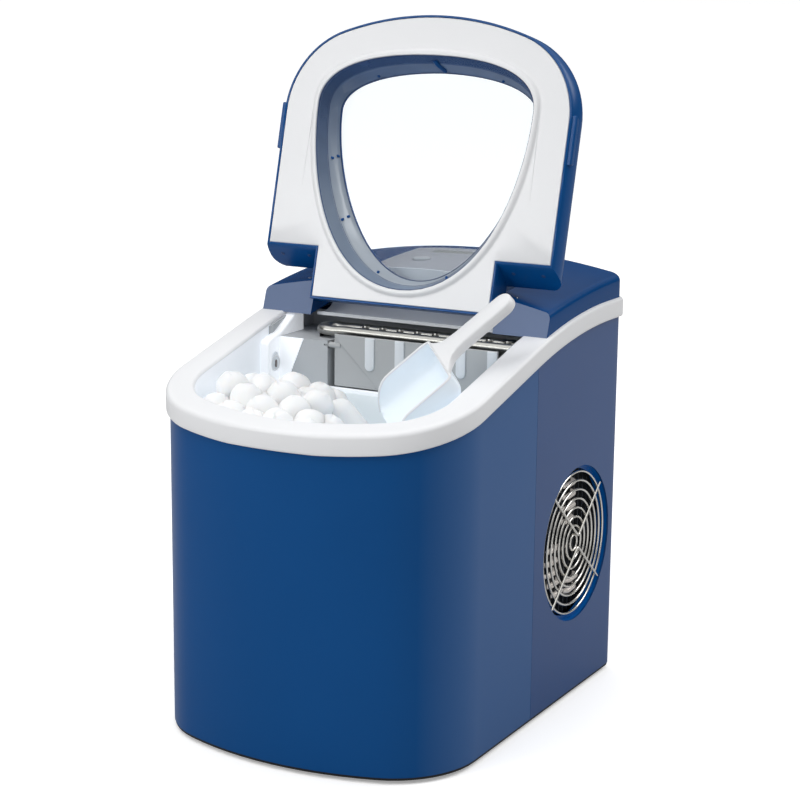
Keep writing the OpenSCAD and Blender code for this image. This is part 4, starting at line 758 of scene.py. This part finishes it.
bm = bmesh.new()
band = [ring_at(LIP_R(FINE) + 5.0, lambda x: 2.0, FINE), ring_at(LIP_R(FINE) - 0.2, lambda x: 1.9, FINE)]
loft(bm, band + [well_ring(*s) for s in ((0.0, 0.0), (0.05, 0.12), (0.3, 0.34), (0.42, 0.46))])
finish_mesh("window_band", bm, CLEAR_BAND, "lid", smooth=60)
bm = bmesh.new()
loft(bm, [well_ring(*s) for s in ((0.42, 0.46), (0.5, 0.47), (0.56, 0.52), (0.8, 0.82), (0.93, 0.95),
                                  (0.98, 0.985), (1.0, 1.0))])
finish_mesh("window_tray", bm, CLEAR, "lid", "lid_window", smooth=60)
bm = bmesh.new()
rings = [ring_at((PANE_R(FINE) - 0.3) * s, lambda x: lid_top(x) - 1.9, FINE) for s in (1.0, 0.6, 0.25)]
loft(bm, rings, True, (False, True))
finish_mesh("window_pane", bm, PANE, "lid")
bm = bmesh.new()
for share, depth in ((0.0, 0.03), (0.44, 0.475), (0.99, 0.99)):
    tube(bm, well_ring(share, depth, -0.2), 0.3, 8, True)
finish_mesh("window_seals", bm, SEAL, "lid")

# Blue pegs on the window's wall, as X, b and height, and the clip at its top
bm = bmesh.new()
PEGS = [(53.1, 175.9, 19.6), (-53.3, 175.7, 19.8), (81.2, 110.0, 13.5), (79.8, 112.5, 19.6),
        (63.9, 62.8, 11.5), (62.8, 66.2, 18.0), (27.2, 25.2, 12.6), (-35.0, 25.0, 5.5), (-3.3, 181.6, 21.0)]
for x, b, n in PEGS:
    inward = np.array([-x, 100.0 - b])
    inward /= np.linalg.norm(inward)
    ends = [lid_pt(x + out * inward[0], b + out * inward[1], n) for out in (-1, 1.5)]
    cyl(bm, *ends, 1.25, 0.9, 16)
clip = [lid_pt(-0.5, 186.6, 7.0), lid_pt(-1.8, 184.0, 11.0), lid_pt(-3.3, 181.8, 19.0)]
tube(bm, smooth_path(clip, 2), 1.9, 12)
finish_mesh("wall_pegs", bm, LID_BLUE, "lid", "window_pegs", smooth=50)

# Faint creases of the inner panel beside the window
bm = bmesh.new()
for s in (-1, 1):
    crease = [(95.5, 144.0, 0.2), (96.0, 115.0, 0.05), (96.5, 86.0, 0.25)]
    tube(bm, [lid_pt(s * x, b, n) for x, b, n in crease], 0.35, 8)
finish_mesh("plate_creases", bm, WHITE, "lid")

# ---------------------------------------------------------------- fan guard and condenser
# Wire rings, and the two bent stays in front of them
GUARD_X, WIRE_R = 117.9, 0.95
bm = bmesh.new()
for r in range(6, 56, 7):
    tube(bm, [(GUARD_X, FAN_Y + y, FAN_Z + z) for y, z in circle(r, 96)], WIRE_R, 10, True)
for s in (-1, 1):
    front_end, rear_end = ((119.4, FAN_Y + 58 * math.cos(a), FAN_Z + s * 59 * math.sin(a))
                           for a in np.radians((133, 40)))
    tube(bm, smooth_path([front_end, (119.7, FAN_Y + 5, FAN_Z + s * 4), rear_end], 3), WIRE_R, 10)
finish_mesh("guard", bm, CHROME, "cabinet", "fan_guard", smooth=60)

# Return bends of the condenser's tubes behind the rings, as Y and Z from the fan's centre; they glow with
# painted glints
BENDS = [(11, 42), (11, 33), (11.5, 24), (9, 14), (-18, -3), (-19, -13), (-19, -22), (-15, -31), (-8, -40),
         (19, -35), (16, -43)]
bm = bmesh.new()
for dy, dz in BENDS:
    y, z = FAN_Y + dy, FAN_Z + dz
    bend = [(106.5, y - 8, z), (109.6, y - 6, z + 0.4), (109.6, y + 6, z + 1.2), (106.5, y + 8, z + 1.6)]
    tube(bm, smooth_path(bend, 2.5), 2.1, 12)
finish_mesh("condenser_bends", bm, BEND_PAINTED_GLINT, "cabinet", smooth=60)

# ---------------------------------------------------------------- basin walls and sensor
BASKET_TOP = 238.0
BAR_FOOT = 239.0                            # the bar and the wall beside it end just above the basket

# Rounded bar on the left boss, from the shoulder down to the basket; it glows with painted light
bar_face = [(35, 294), (22.8, 289), (2, 277), (-14.4, 272.6), (-16.0, 270.2), (-16.0, BAR_FOOT)]
bar_back = [(-10, BAR_FOOT), (-10, 258), (0, 265), (22, 280), (34, 288)]
bm = bmesh.new()
prism(bm, smooth_path(bar_face, 2) + bar_back, 0, (-100.8, -92.6))
finish_mesh("side_bar", bm, BAR_PAINTED_GLOW, "cabinet", bevel=1.3, segments=3)

# Skin of the boss behind the bar, and of the rear wall beside it, glowing with painted light
bm = bmesh.new()
prism(bm, [(-11.5, BAR_FOOT), (-11.5, 262), (3, 268.5), (22.8, 284), (34, 290), (34, 274.5), (0.4, 274.5),
           (0.4, BAR_FOOT)], 0, (-100.8, -92.9))
prism(bm, [(-92.9, 238.6), (-92.9, 274.4), (-71.5, 274.4), (-86.5, 238.6)], 1, (-0.5, 0.2))
finish_mesh("side_boss", bm, BAR_PAINTED_GLOW, "cabinet", smooth=20)

# Round sensor window with its dark slot, in a raised ring on the left boss
SENSOR_Y, SENSOR_Z = BASIN_REAR - 6.2, 254.5
sensor_place = Matrix.Translation((0, SENSOR_Y, SENSOR_Z)) @ Matrix.Rotation(math.pi / 2, 4, "Y")
bm = bmesh.new()
lathe(bm, [(6.4, -93.0), (6.2, -92.5), (5.6, -92.2), (5.0, -92.4), (4.8, -93.0)], sensor_place, 40)
finish_mesh("sensor_ring", bm, WHITE, "cabinet")
bm = bmesh.new()
lathe(bm, [(4.9, -93.0), (4.8, -92.7), (0.1, -92.65)], sensor_place, 32)
finish_mesh("sensor_face", bm, LINER, "cabinet")
bm = bmesh.new()
prism(bm, [(SENSOR_Y + 1.1 * c, SENSOR_Z - 0.4 + 3.0 * s) for c, s in circle(1, 20)], 0, (-92.8, -91.95))
finish_mesh("sensor_slot", bm, SENSOR, "cabinet")


# ---------------------------------------------------------------- ice
BULLET_R, BULLET_LEN = 12.0, 22.0


def bullet(bm, at, tilt, turn, seed):
    """A bullet of ice: round head, tapered body and the hollow that the finger left, all a little wavy."""
    place = Matrix.Translation(at) @ Matrix.Rotation(turn, 4, "Z") @ Matrix.Rotation(tilt, 4, "X")
    r, length = BULLET_R, BULLET_LEN
    section = [(r * math.sin(t), r * 0.92 * math.cos(t)) for t in np.linspace(0.02, math.pi / 2, 9)]
    section += [(r * wide, -length * deep) for wide, deep in (
        (1.01, 0.3), (1.0, 0.62), (0.94, 0.86), (0.82, 0.97),
        (0.66, 1.0), (0.5, 0.96), (0.4, 0.7), (0.3, 0.3))]
    steps = 28
    rings = lathe(bm, section, place, steps)
    for ring in (rings[0], rings[-1]):
        bm.faces.new(ring)
    for k, ring in enumerate(rings):
        for j, v in enumerate(ring):
            a = 2 * math.pi * j / steps
            wave = 0.35 * math.sin(3 * a + seed) + 0.25 * math.sin(5 * a + 2.1 * seed + k * 0.4)
            v.co += (v.co - Vector(at)).normalized() * wave


# Where the bullets seen in the photograph lie: X, and Y and Z from the basin's rear edge and the basket's top
HEAP = [(-79, -86, 14), (-78, -108, 2), (-62, -70, 11), (-60, -97, 9), (-46, -54, 11), (-40, -80, 10),
        (-40, -107, 4), (-38, -123, -2), (-20, -118, -1), (-21, -94, 4), (-14, -74, 5), (-78, -60, 8),
        (-60, -40, 4), (-30, -46, 4), (2, -118, -5), (-60, -118, 0), (-86, -68, 0), (-30, -62, 3),
        (6, -92, -7), (-50, -88, 2), (-70, -84, 3), (-4, -100, -3), (-28, -30, -3), (-8, -52, -5)]
bm = bmesh.new()
for k, (x, y, z) in enumerate(HEAP):
    bullet(bm, (x, BASIN_REAR + y, BASKET_TOP + z), 0.75 * math.sin(1.7 * k + 0.4), 2.4 * k, k)

# Below the basket's rim the ice stays inside its walls: behind, in the rear left corner and round the front
walls, outward = plan(95.7, YF + 21.3, 194.7, 39.7, BASIN_REAR - 5.6)
for v in bm.verts:
    if v.co.z < BASKET_TOP + 1:
        v.co.y = min(v.co.y, BASIN_REAR - 5.8)
        if v.co.y > BASIN_REAR - 18:
            v.co.x = max(v.co.x, -89.4)
        at = np.array(v.co[:2])
        near = np.argmin(np.hypot(*(walls - at).T))
        past = (at - walls[near]) @ outward[near]
        if past > 0:
            v.co[:2] = at - past * outward[near]
finish_mesh("ice_bullets", bm, ICE, "basket", "ice_heap", smooth=60)

# ---------------------------------------------------------------- scoop
SCOOP_IN, SCOOP_BACK = 25.0, 101.0          # its place: in from the liner's side, back from the front panel
SCOOP_UP = 13.4                             # and up from the trim
BOWL_HW = 31.0                              # half of the bowl's width
SCOOP_M = (Matrix.Translation((LINER_HW - SCOOP_IN, YF + SCOOP_BACK,
                               FRONT_H + SCOOP_BACK * math.tan(SLOPE) + TRIM_H + SCOOP_UP))
           @ Matrix.Rotation(math.radians(-45.8), 4, "Z") @ Matrix.Rotation(math.radians(14.2), 4, "Y")
           @ Matrix.Rotation(math.radians(42.6), 4, "X"))


def bowl_ring(y, inset=0.0):
    """The bowl's U at length y; its rear closes in a rounded wall and its mouth slopes down."""
    t = min(1.0, -y / 10.0)
    round_in = math.sqrt(1 - (1 - t) ** 2)
    half = (BOWL_HW - inset) * (0.88 + 0.12 * round_in)
    depth = (SCOOP_DEPTH - inset) * (0.5 + 0.5 * round_in)
    along = -y / SCOOP_LEN
    top = -0.02 if along < 0.6 else -SCOOP_DEPTH * ((along - 0.6) / 0.4) ** 2.3
    pts = []
    for c, s in arc(0, 0, 1, 0, 180, 36):
        x, z = half * math.copysign(abs(c) ** 0.45, c), -depth * abs(s) ** 0.45
        pts.append(SCOOP_M @ Vector((x, y, min(z, top))))
    return pts


# The bowl's rings lie closer together at the rounded rear wall and at the mouth
LENGTHS = [-0.15, -0.6, -1.4, -2.6, -4.2, -6, -8, -10, -15, -21, -27,
           -33, -37, -41, -45, -49, -52, -55, -57, -59, -60.5]
outside = [bowl_ring(y) for y in LENGTHS]
inside = [bowl_ring(min(y - 1.7, -1.85) if y > -10 else y, SCOOP_T) for y in LENGTHS]
bm = bmesh.new()
for skin in (outside, inside):
    bm.faces.new(loft(bm, skin, False)[0])
for k in (0, -1):
    loft(bm, [[ring[k] for ring in outside], [ring[k] for ring in inside]], False)
loft(bm, [outside[-1], inside[-1]], False)
finish_mesh("scoop_bowl", bm, SCOOP_PAINTED_GLOW, "scoop", smooth=50)
bm = bmesh.new()
outer_rim, inner_rim = ([ring[0] for ring in skin][::-1] + [ring[-1] for ring in skin]
                        for skin in (outside, inside))
tube(bm, [(p + q) / 2 for p, q in zip(outer_rim, inner_rim)], 1.05, 8)
finish_mesh("scoop_lip", bm, WHITE, "scoop")


def handle_outline(g):
    """Outline of the handle, drawn in by g: a round end and a waisted root that runs onto the bowl."""
    r, end = 9.0 - g, 56.0
    pts = [(23.5 - g, -0.3), (17.0 - g, 3.5), (12.0 - g, 8.0), (9.6 - g, 14.0), (r, 20.0), (r, end)]
    pts += arc(0, end, r, 0, 90, 6)[1:-1] + [(0, end + r)]
    return pts + [(-x, y) for x, y in reversed(pts[:-1])]


def handle_share(y):
    """The share of its full thickness that the handle has at y: half at the root, and all from 12 mm on."""
    return min(1.0, 0.5 + 0.5 * max(0.0, y) / 12.0)


bm = bmesh.new()
rings = [[SCOOP_M @ Vector((x, y, z * handle_share(y))) for x, y in handle_outline(g)]
         for g, z in ((1.6, -4.0), (0.4, -3.5), (0.0, -2.6), (0.0, 2.6), (0.4, 3.5), (1.6, 4.0))]
loft(bm, rings, True, (True, True))
finish_mesh("scoop_handle", bm, WHITE, "scoop", "scoop", smooth=45)

# ---------------------------------------------------------------- freezing tubes and flap
# Two runs of tube with a round loop at the left end, and the freezing fingers under the rear run
bm = bmesh.new()
TUBE_Y, LOOP_X, LOOP_R, FIRST_FINGER, RIGHT_X = BASIN_REAR + 13.5, -57.5, 9.2, -33, 101.5
REAR_Y = TUBE_Y + TUBE_PITCH
loop = [(RIGHT_X, TUBE_Y, TUBE_Z), (-46, TUBE_Y, TUBE_Z), (-54, TUBE_Y - 0.5, TUBE_Z - 0.5)]
loop += [(x, y, TUBE_Z) for x, y in arc(LOOP_X, TUBE_Y + TUBE_PITCH / 2, LOOP_R, -100, -260, 16)]
loop += [(-54, TUBE_Y + 17, TUBE_Z - 0.5), (-46, REAR_Y, TUBE_Z), (RIGHT_X, REAR_Y, TUBE_Z)]
tube(bm, smooth_path(loop, 4, 4), TUBE_R, 20)
for i in range(FINGERS):
    place = Matrix.Translation((FIRST_FINGER + i * FINGER_PITCH, REAR_Y, TUBE_Z))
    tip = [(0.2, -FINGER_LEN), (2.0, 0.4 - FINGER_LEN), (3.4, 1.8 - FINGER_LEN), (4.0, 4 - FINGER_LEN)]
    lathe(bm, tip + [(4.0, -2), (5.0, 0.5), (4.2, 3.2)], place, 24)
finish_mesh("freezing_tubes", bm, TUBES, "cabinet", "evaporator", smooth=60)

# Bracket under the loop's end
bm = bmesh.new()
hook = smooth_path([(-66, 14), (-66, 19.5), (-60, 19.5)], 1.5, 4)
prism(bm, hook + [(x + 1.2, y - 1.2) for x, y in reversed(hook)], 2, (274.6, 277.4))
finish_mesh("tube_bracket", bm, BLACK, "cabinet", smooth=30)

# Flap: a plate with a slanted left end, a thin back behind it and a stub at each end for its bearings
FLAP_TOP, FLAP_FOOT, PIVOT_Y, PIVOT_Z = 280.3, 241.6, 3, 271.5
bm = bmesh.new()
prism(bm, [(-42.0, FLAP_TOP), (-43.5, 277.0), (-8.0, 243.0), (-5.0, FLAP_FOOT), (89.0, FLAP_FOOT),
           (91.2, 243.8), (91.2, FLAP_TOP)], 1, (0.6, 3.0))
prism(bm, [(-45.4, FLAP_TOP), (-45.4, 240.8), (91.0, 240.8), (91.0, FLAP_TOP)], 1, (1.7, 2.9))
for x0, x1 in ((-53.4, -40), (91.0, 100.9)):
    cyl(bm, (x0, PIVOT_Y, PIVOT_Z), (x1, PIVOT_Y, PIVOT_Z), 2.2)
finish_mesh("flap", bm, FLAP, "ice_shovel", "ice_shovel", bevel=0.3, smooth=35)

# Its five ribs have round feet; each is drawn in by g towards its face. They take the liner's plastic,
# lighter than the plate's: a painted highlight.
RIB_R = 3.9
bm = bmesh.new()
for i in range(5):
    x, z = -14.0 + 25.4 * i, 259.0 + 0.9 * i
    rings = []
    for y, g in ((0.7, 0.0), (-0.5, 0.0), (-0.85, 0.5)):
        r = RIB_R - g
        foot = [(x + r * c, y, z + g + RIB_R * s) for c, s in arc(0, 0, 1, 180, 360, 15)]
        rings.append(foot + [(x + r, y, 280.2), (x - r, y, 280.2)])
    loft(bm, rings, True, (True, True))
finish_mesh("flap_ribs", bm, LINER, "ice_shovel", bevel=0.3, smooth=35)

# ---------------------------------------------------------------- ledge, facings and grips
# Rounded ledge behind the basket, glowing with painted light
bm = bmesh.new()
prism(bm, [(0.4, 235.5), (-2.0, 235.5), (-2.5, 236.2), (-2.5, 239.6), (-1.8, 240.3), (0.4, 240.3)],
      0, (-93.0, 98.4))
finish_mesh("basin_ledge", bm, FACING_PAINTED_GLOW, "cabinet", smooth=30)

# Facings on the basin's walls, from below the basket's rim up to the deck's edge, glowing with painted light
bm = bmesh.new()
walls, outward = plan(LINER_HW - 0.15, YF + RIM_FRONT + 0.15, BASIN_R - 0.15, BASIN_CORNER_R - 0.15, -0.4)
loft(bm, [[(x, y, edge_z(y) + 11.5 if top else 150.0) for x, y in walls + outward * out]
          for out, top in ((0.0, False), (0.0, True), (0.25, True), (0.25, False))], False)
finish_mesh("basin_facings", bm, FACING_PAINTED_GLOW, "cabinet", smooth=30)

# Webs behind the basket's grips
bm = bmesh.new()
for s in (-1, 1):
    rings = []
    for g, x in ((0.0, 97.95), (0.0, 97.5), (0.6, 97.2)):
        y0, y1, z0, z1 = BASIN_REAR - 74 + g, BASIN_REAR - 34 - g, 218 + g, 228 - g
        rings.append([(s * x, y0, z0), (s * x, y1, z0), (s * x, y1, z1), (s * x, y0, z1)])
    loft(bm, rings, True, (True, True))
finish_mesh("grip_webs", bm, BASKET_PAINTED_GLOW, "basket", smooth=30)

# ---------------------------------------------------------------- floor
# White and a little bright to the camera, and paler grey to the light that it throws back
ground = bpy.data.materials.new("floor")
ground.use_nodes = True
tree = ground.node_tree
shader = tree.nodes["Principled BSDF"]
shader.inputs["Roughness"].default_value = 0.9
shader.inputs["Specular IOR Level"].default_value = 0.0
shader.inputs["Emission Color"].default_value = (1, 1, 1, 1)
path = add(tree, "LightPath")
grey = add(tree, "MapRange", To_Min=0.5, To_Max=0.97)
glow = add(tree, "Math")
glow.operation = "MULTIPLY"
glow.inputs[1].default_value = 0.3
tree.links.new(path.outputs["Is Camera Ray"], grey.inputs["Value"])
tree.links.new(grey.outputs["Result"], shader.inputs["Base Color"])
tree.links.new(path.outputs["Is Camera Ray"], glow.inputs[0])
tree.links.new(glow.outputs[0], shader.inputs["Emission Strength"])
bm = bmesh.new()
box(bm, -40000, 40000, -40000, 40000, -4, 0)
floor = new_object("floor", bm)
floor.data.materials.append(ground)
